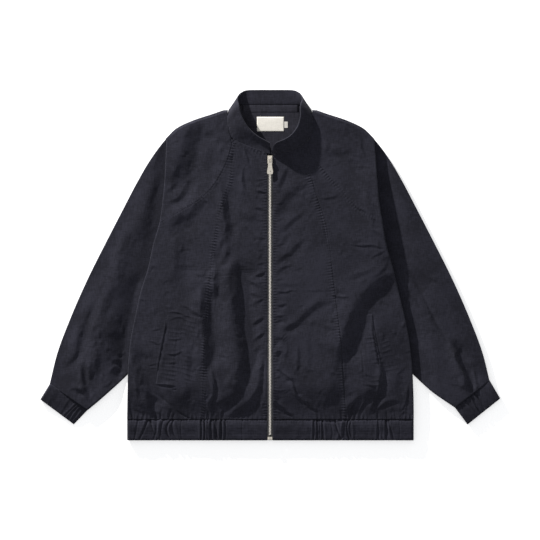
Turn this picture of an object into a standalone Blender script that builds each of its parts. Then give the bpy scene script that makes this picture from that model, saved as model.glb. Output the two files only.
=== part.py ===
"""Raglan bomber jacket, laid flat on its back with the neck towards +Y.

Plan tables are in squares of a 2 mm drawing grid: "across" counts out from the zip, "down" counts
down the sheet, "x" is a place on the sheet with the zip at 270. Heights are in millimetres.
Every cloth piece is its outer face (a sheet of rows) with the wall grown inwards by Solidify.
"""
import math

import bmesh
import bpy
import numpy as np

# ---------------------------------------------------------------- driving dimensions
GRID = 0.002            # one square of the plan, metres
MM = 0.001
ZIP_X = 270.0           # sheet position of the zip
MID_DOWN = 264.5        # sheet row that lies on Y = 0
WALL = 1.2              # cloth, mm
DOUBLE_WALL = 2.2       # collar, cuffs and hem band are two layers of cloth
TAPE_WALL = 0.8
LABEL_WALL = 0.5
SEAM = 0.15 / 2.0       # half the gap between two sewn pieces, squares
CLEAR = 0.3             # gap between pieces that lie on each other, mm
EDGE_GAP = 0.45         # half the gap where front and back meet on a rolled edge, mm
BAND_WALL = 1.4         # hem band, thinner so that its gathers can turn

BODY_TOP = 19.5         # outer face of the front over the middle of the body
HEM_TOP = 11.0          # outer face of the front at the hem band
SIDE_DROP = 1.5         # how much lower the front is at its side folds
SHOULDER_MID = 6.5      # height where front and back sleeve pieces meet on the shoulder line
ARM_TOP = 10.0          # crest of the sleeve
ARM_EDGE = 7.0          # sleeve beside its outer fold
ARM_UNDER = 4.4         # sleeve where the body lies on it
BODY_LIFT = 5.6         # back panel where it lies on the sleeve
TUCK = 8.0              # how far the sleeve goes in under the body, squares
ROLL = 1.6              # plan radius of a folded edge, squares

HEM_SEAM = 419.0        # sheet rows of the hem band
HEM_END = 440.0
FOLD_START = 140.0      # sheet rows between which the shoulder lies on the arm
FOLD_END = 222.0
LEFT, RIGHT = -1, 1


# ---------------------------------------------------------------- outlines and seams (squares)
OUTLINE = [  # down, across: shoulder and outer sleeve edge
    (109.0, 41.0), (111.0, 47.5), (114.0, 56.0), (120.0, 74.5), (128.0, 92.0), (136.0, 101.0),
    (144.0, 108.0), (160.0, 119.5), (184.0, 133.5), (208.0, 146.0), (240.0, 162.5),
    (280.0, 182.5), (320.0, 200.0), (352.0, 212.0), (384.0, 220.0),
]
BODY_EDGE = [  # down, left, right: shoulder fold, then the side fold of the body
    (140.0, 103.0, 104.0), (160.0, 104.0, 105.5), (180.0, 105.0, 107.0), (200.0, 107.0, 108.5),
    (222.0, 110.0, 112.0), (243.0, 116.0, 115.5), (268.0, 121.5, 122.5), (292.0, 129.0, 128.5),
    (315.0, 134.0, 134.0), (340.0, 139.0, 139.0), (360.0, 141.0, 141.3), (390.0, 142.0, 143.0),
    (440.0, 143.0, 143.5),
]
FRONT_RAGLAN = [  # down, left, right: collar edge, then front raglan seam
    (109.0, 43.2, 43.2), (122.0, 42.8, 43.0), (132.0, 41.8, 42.6), (138.0, 39.8, 40.6),
    (144.0, 38.2, 38.6), (152.0, 40.0, 39.4), (162.0, 43.0, 46.0), (172.0, 48.0, 54.5),
    (184.0, 55.0, 64.5), (192.0, 62.0, 71.5), (199.0, 70.0, 77.7), (206.0, 80.0, 84.3),
    (212.0, 91.0, 90.8), (220.5, 106.0, 103.5), (222.0, 108.0, 109.0),
]
PRINCESS = [  # down, left, right: seam between front centre and front side
    (138.0, 36.4, 31.0), (150.0, 37.0, 31.0), (165.0, 38.0, 36.0), (180.0, 39.5, 41.5),
    (200.0, 46.0, 47.3), (220.0, 52.0, 54.5), (250.0, 57.0, 59.5), (280.0, 60.0, 63.0),
    (312.0, 63.0, 67.0), (340.0, 65.0, 70.4), (380.0, 66.3, 73.0), (419.0, 67.3, 76.0),
]
NECKLINE = [  # across, left, right: sheet row of the front collar seam
    (0.0, 155.4, 158.0), (3.0, 154.6, 157.2), (14.0, 150.8, 154.2), (26.0, 146.4, 149.2),
    (36.0, 141.6, 142.9), (42.0, 137.0, 138.0),
]
BACK_RAGLAN = [  # down, across
    (105.0, 30.0), (120.0, 42.0), (140.0, 54.0), (180.0, 78.0), (200.0, 90.0), (222.0, 101.5),
]
UNDERARM = [  # down, left, right: inner edge of the sleeve, under the body down to row 375
    (222.0, 102.0, 102.0), (243.0, 107.5, 107.5), (268.0, 113.5, 113.5), (292.0, 120.5, 120.5),
    (315.0, 126.0, 126.0), (340.0, 131.0, 131.0), (360.0, 134.5, 134.5), (370.0, 138.0, 138.4),
    (376.0, 143.8, 144.6), (383.0, 151.0, 152.0), (392.0, 161.0, 162.2), (400.0, 170.0, 173.5),
    (410.0, 182.0, 188.5),
]
SHOULDER_ROWS = (110.6, 112.8, 116.0, 120.5, 126.0, 132.0, 138.5)
FOLD_ROWS = (140.5, 144.0, 150.0, 158.0, 168.0, 178.0, 188.0, 197.0, 206.0, 213.5, 220.5)
SIDE_ROWS = (224.0, 233.0, 243.0, 254.0, 266.0, 278.0, 290.0, 302.0, 314.0, 326.0, 338.0, 350.0,
             362.0, 373.0, 383.0, 392.0, 401.0, 410.0, HEM_SEAM - SEAM)
SLEEVE_END = {LEFT: (384.0, 410.0), RIGHT: (380.5, 407.5)}   # outer and inner row of the cuff seam

# Soft folds of the front: a three-point path on the sheet, half width (squares), rise (mm).
BODY_FOLDS = [  # x0, down0, x1, down1, x2, down2, width, rise
    (195, 130, 188, 155, 172, 186, 8.0, -2.6),      # left shoulder trough
    (183, 142, 176, 160, 170, 178, 5.0, 1.4),
    (188, 194, 182, 203, 170, 210, 4.0, -1.6),
    (206, 203, 190, 216, 168, 226, 5.0, -1.8),      # under the left raglan seam
    (228, 200, 225, 232, 219, 285, 5.0, -1.8),      # beside the left princess seam
    (243, 172, 246, 190, 252, 204, 4.0, -1.2),
    (240, 210, 250, 218, 260, 234, 4.0, -1.3),
    (246, 152, 256, 161, 265, 174, 4.0, -1.5),
    (232, 288, 244, 325, 243, 392, 7.0, -3.0),      # long trough beside the zip
    (212, 300, 214, 355, 212, 412, 5.0, -2.2),
    (262, 356, 250, 390, 224, 418, 5.0, 2.2),
    (264, 372, 256, 402, 230, 419, 4.0, -2.0),
    (131, 358, 150, 390, 178, 413, 5.0, -1.9),      # left diagonal above the hem
    (185, 306, 195, 313, 207, 322, 5.0, -1.2),
    (279, 222, 284, 198, 302, 185, 4.0, -1.4),      # fan from the zip, right front
    (276, 236, 286, 230, 294, 218, 4.0, 1.2),
    (279, 259, 290, 250, 302, 245, 4.0, -1.2),
    (288, 170, 284, 180, 279, 191, 4.0, -1.6),
    (331, 303, 308, 314, 282, 334, 6.0, -2.0),
    (299, 350, 299, 366, 298, 380, 5.0, -1.6),
    (279, 366, 296, 388, 313, 412, 4.5, -1.9),
    (386, 289, 348, 306, 343, 345, 8.0, -2.4),      # broad valley on the right side
    (343, 345, 346, 376, 330, 398, 7.0, -1.9),
    (382, 386, 374, 402, 364, 419, 4.0, -2.0),
    (360, 396, 352, 409, 347, 419, 4.0, -1.8),
    (374, 416, 384, 401, 401, 400, 4.0, -1.5),
    (356, 245, 370, 246, 385, 247, 5.0, -1.5),
    (312, 300, 318, 270, 316, 235, 9.0, 1.6),
    (150, 300, 163, 262, 186, 240, 9.0, 1.6),
    (362, 137, 363, 150, 369, 159, 4.0, -1.4),
]
ARM_FOLDS = [
    (126, 246, 119, 274, 111, 298, 6.0, -1.6),      # left sleeve
    (79, 313, 80, 340, 64, 366, 5.0, -1.9),
    (82, 363, 86, 382, 91, 402, 5.0, -1.8),
    (98, 352, 100, 364, 97, 378, 5.0, -1.2),
    (140, 190, 130, 222, 121, 246, 9.0, 1.2),
    (428, 306, 452, 344, 470, 390, 6.0, -2.2),      # right sleeve
    (473, 370, 477, 380, 479, 398, 4.5, -1.6),
    (404, 215, 420, 250, 436, 292, 9.0, 1.2),
]
POCKET = [  # down, inner edge, slit edge (across), the same on both sides
    (314.0, 87.5, 102.0), (332.0, 89.0, 104.8), (357.0, 91.5, 109.6), (384.0, 93.5, 113.8),
]
HEM_GATHERS = [  # sheet x from, to, pleats, rise (mm)
    (133.0, 160.0, 6, 1.1), (160.0, 180.0, 3, 1.7), (199.0, 226.0, 6, 1.3),
    (311.0, 324.0, 3, 1.1), (324.0, 354.0, 5, 1.7), (377.0, 392.0, 3, 1.2),
]


# ---------------------------------------------------------------- curves and heights
def smooth(t):
    t = np.clip(t, 0.0, 1.0)
    return t * t * (3.0 - 2.0 * t)


def curve(table, at, side=RIGHT):
    """Read a table at a place; the last column but one is the left side, the last the right."""
    column = -2 if side == LEFT and len(table[0]) > 2 else -1
    return np.interp(at, [row[0] for row in table], [row[column] for row in table])


def stretch(table, down, side=RIGHT):
    """How much longer a step across is than a step square to the edge."""
    slope = (curve(table, down + 1.0, side) - curve(table, down - 1.0, side)) / 2.0
    return np.sqrt(1.0 + slope * slope)


def raglan_edge(down, side, toward):
    """Edge of a piece at the front raglan seam, half a gap to one side of it."""
    return curve(FRONT_RAGLAN, down, side) + toward * SEAM * stretch(FRONT_RAGLAN, down, side)


def outline_row(across):
    return np.interp(across, [row[1] for row in OUTLINE], [row[0] for row in OUTLINE])


def fold_height(folds, x, down):
    """Sum of soft troughs and ridges along bent paths, fading out at both ends."""
    x, down = np.broadcast_arrays(np.asarray(x, float), np.asarray(down, float))
    total = np.zeros(x.shape)
    steps = np.linspace(0.0, 1.0, 9)
    for x0, d0, x1, d1, x2, d2, width, rise in folds:
        # The middle point lies on the path, so the Bezier control point is pushed beyond it.
        cx, cd = 2.0 * x1 - (x0 + x2) / 2.0, 2.0 * d1 - (d0 + d2) / 2.0
        px = (1 - steps) ** 2 * x0 + 2 * steps * (1 - steps) * cx + steps ** 2 * x2
        pd = (1 - steps) ** 2 * d0 + 2 * steps * (1 - steps) * cd + steps ** 2 * d2
        best = np.full(x.shape, 1e9)
        along = np.zeros(x.shape)
        for i in range(len(steps) - 1):
            ex, ed = px[i + 1] - px[i], pd[i + 1] - pd[i]
            t = np.clip(((x - px[i]) * ex + (down - pd[i]) * ed) / (ex * ex + ed * ed), 0.0, 1.0)
            far = np.hypot(x - px[i] - t * ex, down - pd[i] - t * ed)
            near = far < best
            best = np.where(near, far, best)
            along = np.where(near, steps[i] + t * (steps[i + 1] - steps[i]), along)
        taper = np.sqrt(np.clip(4.0 * along * (1.0 - along), 0.0, 1.0)) * 0.8 + 0.2
        total += rise * taper * np.exp(-(best / width) ** 2)
    return total


def pocket_calm(across, down):
    """Folds die out under the welts, so a welt lies on its panel."""
    inner = curve(POCKET, down, LEFT)
    slit = curve(POCKET, down, RIGHT)
    off = np.maximum(np.maximum(inner - across, across - slit), np.maximum(308.0 - down, down - 390.0))
    return smooth(off / 14.0)


def front_height(across, down, side):
    """Outer face of the body front and of the shoulder part of the sleeve."""
    across, down = np.broadcast_arrays(np.asarray(across, float), np.asarray(down, float))
    edge = curve(BODY_EDGE, np.clip(down, FOLD_START, HEM_END), side)
    top = BODY_TOP - SIDE_DROP * smooth(1.0 - (edge - across) / 55.0)
    top = HEM_TOP + (top - HEM_TOP) * smooth((HEM_SEAM - down) / 50.0)
    folds = fold_height(BODY_FOLDS, ZIP_X + side * across, down)
    folds = folds * pocket_calm(across, down) * smooth((across - 2.0) / 9.0)
    folds = folds * smooth((HEM_SEAM + 2.0 - down) / 10.0)
    below = (down - outline_row(across)) * 0.9 / 5.0
    shoulder = np.sqrt(1.0 - (1.0 - np.clip(below, 0.0, 1.0)) ** 2)
    over = np.where(down < FOLD_START + 4.0, shoulder, 1.0)
    return SHOULDER_MID + (top + folds - SHOULDER_MID) * over


def arm_height(across, down, side):
    """Outer face of the front sleeve piece on the arm, low where the body lies on it."""
    across, down = np.broadcast_arrays(np.asarray(across, float), np.asarray(down, float))
    edge = curve(BODY_EDGE, down, side)
    low = ARM_UNDER + (ARM_EDGE - ARM_UNDER) * smooth((down - 382.0) / 14.0)
    crest = low + (ARM_TOP - low) * smooth((across - edge - 1.0) / 26.0)
    folds = fold_height(ARM_FOLDS, ZIP_X + side * across, down)
    crest = crest + folds * smooth((across - edge - 2.0) / 10.0)
    outer = smooth((curve(OUTLINE, down) - across) / 16.0)
    start = np.minimum(ARM_EDGE, 5.2 + 1.8 * smooth((down - FOLD_START) / 30.0))
    return np.where(crest > start, start + (crest - start) * outer, crest)


def back_lift(across, down):
    """Outer face of the back panel: on the floor, but up over the tucked-in sleeve edge."""
    start = curve(UNDERARM, np.clip(down, FOLD_END, 376.0)) - 15.0
    rise = smooth((across - start) / 12.0)
    return BODY_LIFT * rise * smooth((down - 194.0) / 20.0) * smooth((385.0 - down) / 6.0)


def side_mid(down, side):
    """Height at which front and back meet on the body's side fold."""
    edge = curve(BODY_EDGE, down, side) - ROLL
    return 0.5 * (back_lift(edge, down) + front_height(edge, down, side))


def place(across, down, height, side):
    """A point of the jacket in metres."""
    across, down, height = np.broadcast_arrays(across, down, height)
    return np.stack([side * across * GRID, (MID_DOWN - down) * GRID, height * MM], axis=-1)


# ---------------------------------------------------------------- scene set-up and builders
for old in list(bpy.data.objects):
    bpy.data.objects.remove(old, do_unlink=True)

jacket = bpy.data.collections.new("bomber_jacket")
bpy.context.scene.collection.children.link(jacket)


def material(name, colour, roughness, metallic=0.0):
    made = bpy.data.materials.new(name)
    made.use_nodes = True
    shader = made.node_tree.nodes["Principled BSDF"]
    shader.inputs["Base Color"].default_value = (*colour, 1.0)
    shader.inputs["Roughness"].default_value = roughness
    shader.inputs["Metallic"].default_value = metallic
    return made


TWILL = (0.026, 0.026, 0.036)
METAL = (0.62, 0.57, 0.50)


def finish(name, mesh, colour, roughness=0.9, metallic=0.0):
    thing = bpy.data.objects.new(name, mesh)
    thing.data.materials.append(material(name + "_mat", colour, roughness, metallic))
    jacket.objects.link(thing)
    return thing


def sheet(name, rows, facing_down=False, keep=None, wall=WALL, colour=TWILL, ring=False):
    """Cloth from rows of outer-face points; keep[i][j] says which cells of the grid are cloth."""
    shape = bmesh.new()
    rows = np.asarray(rows, float)
    count, width = rows.shape[:2]
    used = {}

    def vert(i, j):
        if (i, j) not in used:
            used[(i, j)] = shape.verts.new(rows[i, j])
        return used[(i, j)]

    for i in range(count - 1):
        for j in range(width if ring else width - 1):
            if keep is not None and not keep[i][j]:
                continue
            k = (j + 1) % width
            corner = [vert(i, j), vert(i + 1, j), vert(i + 1, k), vert(i, k)]
            shape.faces.new(corner[::-1] if facing_down else corner)
    mesh = bpy.data.meshes.new(name)
    shape.to_mesh(mesh)
    shape.free()
    thing = finish(name, mesh, colour)
    grow = thing.modifiers.new("wall", "SOLIDIFY")
    grow.thickness = wall * MM
    grow.offset = -1.0
    grow.use_rim = True
    return thing


def arc(start, end, count, skip_first=False):
    """Angles along a rolled edge."""
    turns = np.radians(np.linspace(start, end, count))
    return turns[1:] if skip_first else turns


def named(stem, side):
    return stem + ("_left" if side == LEFT else "_right")


# ---------------------------------------------------------------- front panels
def front_rows(side):
    """Rows shared along the raglan and princess seams: places at the outer edge of the side panel."""
    start = float(curve(NECKLINE, 38.2, side)) + 2.0 * SEAM
    return np.array([start] + [down for down in FOLD_ROWS[1:] + SIDE_ROWS])


def slanted(down, across, outer, index, side):
    """The first rows follow the slant of the neckline, the later ones run straight across."""
    slant = curve(NECKLINE, across, side) - curve(NECKLINE, outer, side)
    return down + slant * max(0.0, 1.0 - index / 5.0)


def front_centre(side):
    shares = np.linspace(0.0, 1.0, 8)
    last = HEM_SEAM - SEAM
    rows = []
    for i, outer_down in enumerate(front_rows(side)):
        seam = float(curve(PRINCESS, outer_down, side))
        outer = float(curve(FRONT_RAGLAN, outer_down, side)) if i < 5 else seam
        seam_down = float(slanted(outer_down, seam, outer, i, side))
        seam_first = float(slanted(front_rows(side)[0], 36.4 if side == LEFT else 31.0, 38.2, 0, side))
        share = (seam_down - seam_first) / (last - seam_first)
        edge = float(curve(PRINCESS, seam_down, side)) - SEAM
        across = 3.0 + shares * (edge - 3.0)
        first = curve(NECKLINE, across, side) + seam_first - curve(NECKLINE, edge, side)
        down = first + share * (last - first)
        down[-1] = seam_down
        rows.append(place(across, down, front_height(across, down, side), side))
    sheet(named("front_centre", side), rows, facing_down=side == LEFT)


def front_side(side):
    shares = np.linspace(0.0, 1.0, 8)
    roll = arc(0.0, 90.0, 4, skip_first=True)
    downs = front_rows(side)
    first_side = int(np.sum(downs < FOLD_END))
    rows = []
    for i, down in enumerate(downs):
        raglan = i < first_side
        outer = raglan_edge(down, side, -1) if raglan else curve(BODY_EDGE, down, side) - ROLL
        seam_down = float(slanted(down, float(curve(PRINCESS, down, side)), outer, i, side))
        inner = curve(PRINCESS, seam_down, side) + SEAM
        across = inner + shares * (outer - inner)
        here = slanted(down, across, outer, i, side)
        here[0] = seam_down
        height = front_height(across, here, side)
        mid = side_mid(down, side) + EDGE_GAP
        edge_across = outer + ROLL * np.sin(roll)
        edge_height = mid + (height[-1] - mid) * np.cos(roll)
        rows.append(np.concatenate([
            place(across, here, height, side), place(edge_across, down, edge_height, side)]))
    cells = np.ones((len(rows) - 1, len(rows[0]) - 1), bool)
    cells[:first_side, len(shares) - 1:] = False
    sheet(named("front_side", side), rows, facing_down=side == LEFT, keep=cells)


# ---------------------------------------------------------------- sleeves
def sleeve_rows(side):
    """Pairs of rows (at the outer edge, at the inner edge) down the arm."""
    outer_end, inner_end = SLEEVE_END[side]
    outer = np.linspace(FOLD_END + 2.0, outer_end - SEAM, 14)
    skew = (inner_end - outer_end) * smooth((outer - FOLD_END) / (outer_end - FOLD_END))
    return list(zip(outer, outer + skew))


def row_down(across, outer_down, inner_down, side):
    """Sheet row of a place on the straight line between the two edges of the sleeve."""
    outer, inner = curve(OUTLINE, outer_down), curve(UNDERARM, inner_down, side)
    return outer_down + (outer - across) / (outer - inner) * (inner_down - outer_down)


def outer_roll(down, turns, top):
    """Points of the rolled outer edge: the angle is 0 on the crown and 90 on the outline."""
    radius = ROLL * stretch(OUTLINE, down)
    edge = curve(OUTLINE, down)
    mid = 0.5 * top + EDGE_GAP
    return edge - radius + radius * np.sin(turns), mid + (top - mid) * np.cos(turns)


def shoulder_part(down, edge, low, side, fold_turns, count):
    """Visible fold edge, then the shoulder up to the raglan seam or the collar."""
    inner = raglan_edge(down, side, 1)
    radius = min(ROLL * (1.0 if low else stretch(OUTLINE, down)), 0.45 * (edge - inner))
    top = front_height(edge - radius, down, side)
    bottom = low if low else 2.0 * (SHOULDER_MID + EDGE_GAP) - top
    across = edge - radius + radius * np.cos(fold_turns)
    height = 0.5 * (bottom + top) + 0.5 * (top - bottom) * np.sin(fold_turns)
    flat = edge - radius + np.linspace(0.0, 1.0, count)[1:] * (inner - edge + radius)
    return np.concatenate([place(across, down, height, side),
                           place(flat, down, front_height(flat, down, side), side)])


def arm_part(outer_down, inner_down, inner, side, crown, count):
    """Rolled outer edge, then the arm up to its inner edge."""
    top = float(arm_height(curve(OUTLINE, outer_down) - ROLL, outer_down, side))
    edge_across, edge_height = outer_roll(outer_down, crown, top)
    across = edge_across[-1] + np.linspace(0.0, 1.0, count)[1:] * (inner - edge_across[-1])
    down = row_down(across, outer_down, inner_down, side)
    return np.concatenate([
        place(edge_across, row_down(edge_across, outer_down, inner_down, side), edge_height, side),
        place(across, down, arm_height(across, down, side), side)])


def sleeve_front(side):
    """Front sleeve piece: the shoulder lies on the arm in a Z-fold, so three layers lie there."""
    arm_count, shoulder_count, under_count = 8, 6, 3
    crown = arc(90.0, 0.0, 4)
    inner_turns = arc(0.0, 90.0, 4, skip_first=True)
    fold_turns = arc(-90.0, 90.0, 7)
    arm_end = len(crown) + arm_count - 2            # last column of the arm part
    fold_at = arm_end + 1 + under_count             # first column of the visible fold edge
    width = fold_at + len(fold_turns) + shoulder_count - 1
    rows = []
    for down in SHOULDER_ROWS:
        row = np.zeros((width, 3))
        row[fold_at:] = shoulder_part(down, float(curve(OUTLINE, down)), None, side,
                                      fold_turns, shoulder_count)
        rows.append(row)
    for down in FOLD_ROWS:
        edge = float(curve(BODY_EDGE, down, side))
        tuck = TUCK * (0.5 + 0.5 * smooth((down - FOLD_START) / 20.0) - 0.3 * smooth((down - 205.0) / 15.0))
        low = ARM_UNDER + WALL + 1.0
        row = np.zeros((width, 3))
        row[:arm_end + 1] = arm_part(down, down, edge - tuck, side, crown, arm_count)
        back = np.linspace(edge - tuck, edge - ROLL - 0.6, under_count)
        lift = np.full(under_count, low)
        back[0] -= 0.5
        lift[0] = 0.5 * (ARM_UNDER + low)
        row[arm_end + 1:fold_at] = place(back, down, lift, side)
        row[fold_at:] = shoulder_part(down, edge, low, side, fold_turns, shoulder_count)
        rows.append(row)
    for outer_down, inner_down in sleeve_rows(side):
        inner = float(curve(UNDERARM, inner_down, side)) + ROLL
        row = np.zeros((width, 3))
        row[:arm_end + 1] = arm_part(outer_down, inner_down, inner, side, crown, arm_count)
        top = row[arm_end, 2] / MM
        mid = 0.5 * top + EDGE_GAP
        under = inner - ROLL * np.sin(inner_turns)
        row[arm_end + 1:arm_end + 4] = place(under, row_down(under, outer_down, inner_down, side),
                                             mid + (top - mid) * np.cos(inner_turns), side)
        rows.append(row)

    cells = np.ones((len(rows) - 1, width - 1), bool)
    first_fold, first_arm = len(SHOULDER_ROWS), len(SHOULDER_ROWS) + len(FOLD_ROWS)
    cells[:first_fold, :fold_at + len(fold_turns) // 2] = False
    cells[first_arm - 1, arm_end:] = False
    cells[first_arm:, arm_end + 3:] = False
    sheet(named("sleeve_front", side), rows, facing_down=side == RIGHT, keep=cells)


def sleeve_back(side):
    """Flat on the floor; its edges curl up to meet the front sleeve piece."""
    curl = arc(90.0, 0.0, 3)
    inner_curl = arc(0.0, 90.0, 3, skip_first=True)
    main = 5
    pairs = [(down, down) for down in (113.0,) + SHOULDER_ROWS[2:]]
    pairs += [(down, down) for down in FOLD_ROWS[::2]]
    first_arm = len(pairs)
    pairs += sleeve_rows(side)
    rows = []
    for i, (outer_down, inner_down) in enumerate(pairs):
        radius = ROLL * stretch(OUTLINE, outer_down)
        edge = float(curve(OUTLINE, outer_down))
        on_shoulder = outer_down < FOLD_START
        arm_top = float(arm_height(edge - ROLL, max(outer_down, FOLD_START), side))
        meet = (SHOULDER_MID if on_shoulder else 0.42 * arm_top) - EDGE_GAP
        outer = edge - radius + radius * np.sin(curl)
        if i < first_arm:
            inner = float(curve(BACK_RAGLAN, inner_down)) + SEAM
            last = 0.0
        else:
            inner = float(curve(UNDERARM, inner_down, side)) + ROLL
            last = 0.3 * float(arm_height(inner, inner_down, side)) - EDGE_GAP
        middle = edge - radius + np.linspace(0.0, 1.0, main)[1:] * (inner - edge + radius)
        inside = inner - ROLL * np.sin(inner_curl)
        across = np.concatenate([outer, middle, inside])
        height = np.concatenate([meet * (1.0 - np.cos(curl)), 0.0 * middle,
                                 last * (1.0 - np.cos(inner_curl))])
        rows.append(place(across, row_down(across, outer_down, inner_down, side), height, side))
    cells = np.ones((len(rows) - 1, len(rows[0]) - 1), bool)
    cells[:first_arm, len(curl) + main - 2:] = False
    sheet(named("sleeve_back", side), rows, facing_down=side == LEFT, keep=cells)


# ---------------------------------------------------------------- back panel
def back_panel():
    curl = arc(0.0, 90.0, 4, skip_first=True)
    shares = np.linspace(-1.0, 0.0, 7)
    downs = np.array((105.6, 116.0) + SHOULDER_ROWS[5:6] + FOLD_ROWS[2::2] + SIDE_ROWS)
    first_side = int(np.sum(downs < FOLD_END))
    rows = []
    for i, down in enumerate(downs):
        row = []
        for side in (LEFT, RIGHT):
            if i < first_side:
                outer = float(curve(BACK_RAGLAN, down)) - SEAM
            else:
                outer = float(curve(BODY_EDGE, down, side)) - ROLL
            low = float(back_lift(outer, down))
            meet = float(side_mid(down, side)) - EDGE_GAP
            half = np.abs(shares) ** 0.6 * outer
            main = place(half, down, back_lift(half, down), side)
            edge = place(outer + ROLL * np.sin(curl), down, low + (meet - low) * (1.0 - np.cos(curl)), side)
            row.append(np.concatenate([edge[::-1], main]))
        rows.append(np.concatenate([row[0], row[1][::-1][1:]]))
    cells = np.ones((len(rows) - 1, len(rows[0]) - 1), bool)
    cells[:first_side, :len(curl)] = False
    cells[:first_side, -len(curl):] = False
    sheet("back_panel", rows, facing_down=True, keep=cells)


# ---------------------------------------------------------------- collar
COLLAR_TURN = [  # seam across, down, height; free edge across, down, height
    (0.0, 105.0, 0.0, 0.0, 90.0, 0.0), (15.0, 105.0, 0.0, 13.0, 90.0, 0.0),
    (27.0, 105.0, 0.2, 23.5, 90.4, 1.5), (34.0, 105.4, 2.5, 28.5, 92.6, 6.5),
    (39.4, 108.0, 6.0, 31.5, 95.6, 13.0), (41.8, 111.5, 11.5, 32.2, 100.0, 21.0),
]
COLLAR_FRONT = {  # seam across, down; free edge across, down, rise above the body
    LEFT: [(42.4, 117.0, 30.8, 106.0, 8.5), (42.0, 127.0, 28.8, 115.0, 10.0),
           (39.6, 137.0, 24.5, 123.5, 11.5), (31.5, 143.6, 19.0, 131.2, 12.5),
           (20.0, 148.4, 12.0, 137.2, 12.5), (9.0, 152.3, 6.0, 140.6, 11.0), (2.8, 154.4, 1.6, 143.6, 8.0)],
    RIGHT: [(42.6, 117.0, 30.4, 106.0, 13.0), (42.4, 127.0, 30.0, 117.5, 18.0),
            (40.6, 137.0, 26.8, 128.0, 21.5), (32.5, 145.4, 20.5, 136.4, 21.5),
            (20.0, 151.6, 12.5, 141.2, 18.0), (9.0, 155.4, 5.6, 144.0, 13.5), (2.8, 156.9, 1.6, 150.0, 7.0)],
}


def collar():
    """Stand collar: flat on the floor at the back, turned at both shoulders, leaning in at the front."""
    stations = []
    for side in (LEFT, RIGHT):
        half = [(side, *row) for row in COLLAR_TURN]
        for a, down, edge_a, edge_down, rise in COLLAR_FRONT[side]:
            ground = float(front_height(a, down + 2.0, side))
            half.append((side, a, down, ground, edge_a, edge_down, ground + rise))
        stations.append(half)
    line = stations[0][::-1] + stations[1][1:]
    fine = np.linspace(0.0, len(line) - 1.0, 2 * len(line) - 1)
    places = np.arange(len(line))
    seam_x = np.interp(fine, places, [row[0] * row[1] for row in line])
    edge_x = np.interp(fine, places, [row[0] * row[4] for row in line])
    columns = [np.interp(fine, places, [row[k] for row in line]) for k in (2, 3, 5, 6)]
    rows = []
    for v in np.linspace(0.0, 1.0, 4):
        bulge = 1.6 * math.sin(math.pi * v)
        x = seam_x + v * (edge_x - seam_x)
        down = columns[0] + v * (columns[2] - columns[0])
        height = columns[1] + v * (columns[3] - columns[1])
        rows.append(place(x, down, height + bulge * smooth(height / 12.0), RIGHT))
    sheet("collar", rows[::-1], facing_down=True, wall=DOUBLE_WALL)


# ---------------------------------------------------------------- hem band and cuffs
def gather_height(x):
    total = np.zeros(np.shape(x))
    for start, end, pleats, rise in HEM_GATHERS:
        t = (x - start) / (end - start)
        wave = 0.5 - 0.5 * np.cos(2.0 * math.pi * pleats * t)
        total += np.where((t > 0.0) & (t < 1.0), rise * wave, 0.0)
    return total


def hem_stations(side):
    """Across places on the front of the band: close together only where it is gathered."""
    edge = float(curve(BODY_EDGE, HEM_SEAM, side)) - ROLL * 1.5
    places = [3.0]
    while places[-1] < edge - 3.0:
        x = ZIP_X + side * (places[-1] + 0.5)
        gathered = any(start <= x <= end for start, end, _, _ in HEM_GATHERS)
        places.append(places[-1] + (1.25 if gathered else 8.0))
    return np.append([a for a in places if a < edge - 3.0], edge)


def hem_band():
    turns = arc(0.0, 180.0, 9)[1:-1]
    rows = []
    for down, drop in ((HEM_SEAM + SEAM, 0.0), (425.0, -0.8), (434.0, -0.6), (HEM_END, 1.0)):
        halves = []
        for side in (LEFT, RIGHT):
            across = hem_stations(side)
            calm = smooth((across[-1] - across) / 4.0)
            top = HEM_TOP - drop + gather_height(ZIP_X + side * across) * calm
            radius = ROLL * 1.5
            height = 0.5 * (top[-1] + top[-1] * np.cos(turns))
            halves.append((place(across, down, top, side),
                           place(across[-1] + radius * np.sin(turns), down, height, side)))
        edge = [float(curve(BODY_EDGE, HEM_SEAM, side)) - ROLL * 1.5 for side in (LEFT, RIGHT)]
        under = place(np.linspace(-edge[0], edge[1], 14), down, 0.0, RIGHT)
        rows.append(np.concatenate([halves[0][0], halves[0][1], under,
                                    halves[1][1][::-1], halves[1][0][::-1]]))
    sheet("hem_band", rows, facing_down=True, wall=BAND_WALL)


CUFF_CORNERS = {  # across, down: seam outer, seam inner, end outer, end inner
    LEFT: ((220.0, 384.0), (182.0, 410.0), (229.4, 399.2), (196.0, 424.2)),
    RIGHT: ((219.5, 380.5), (184.6, 407.5), (229.9, 398.2), (197.2, 424.2)),
}
CUFF_GATHERS = {LEFT: (0.25, 0.75, 5, 0.9), RIGHT: (0.45, 0.95, 5, 1.4)}   # share from, to, pleats, rise


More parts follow.
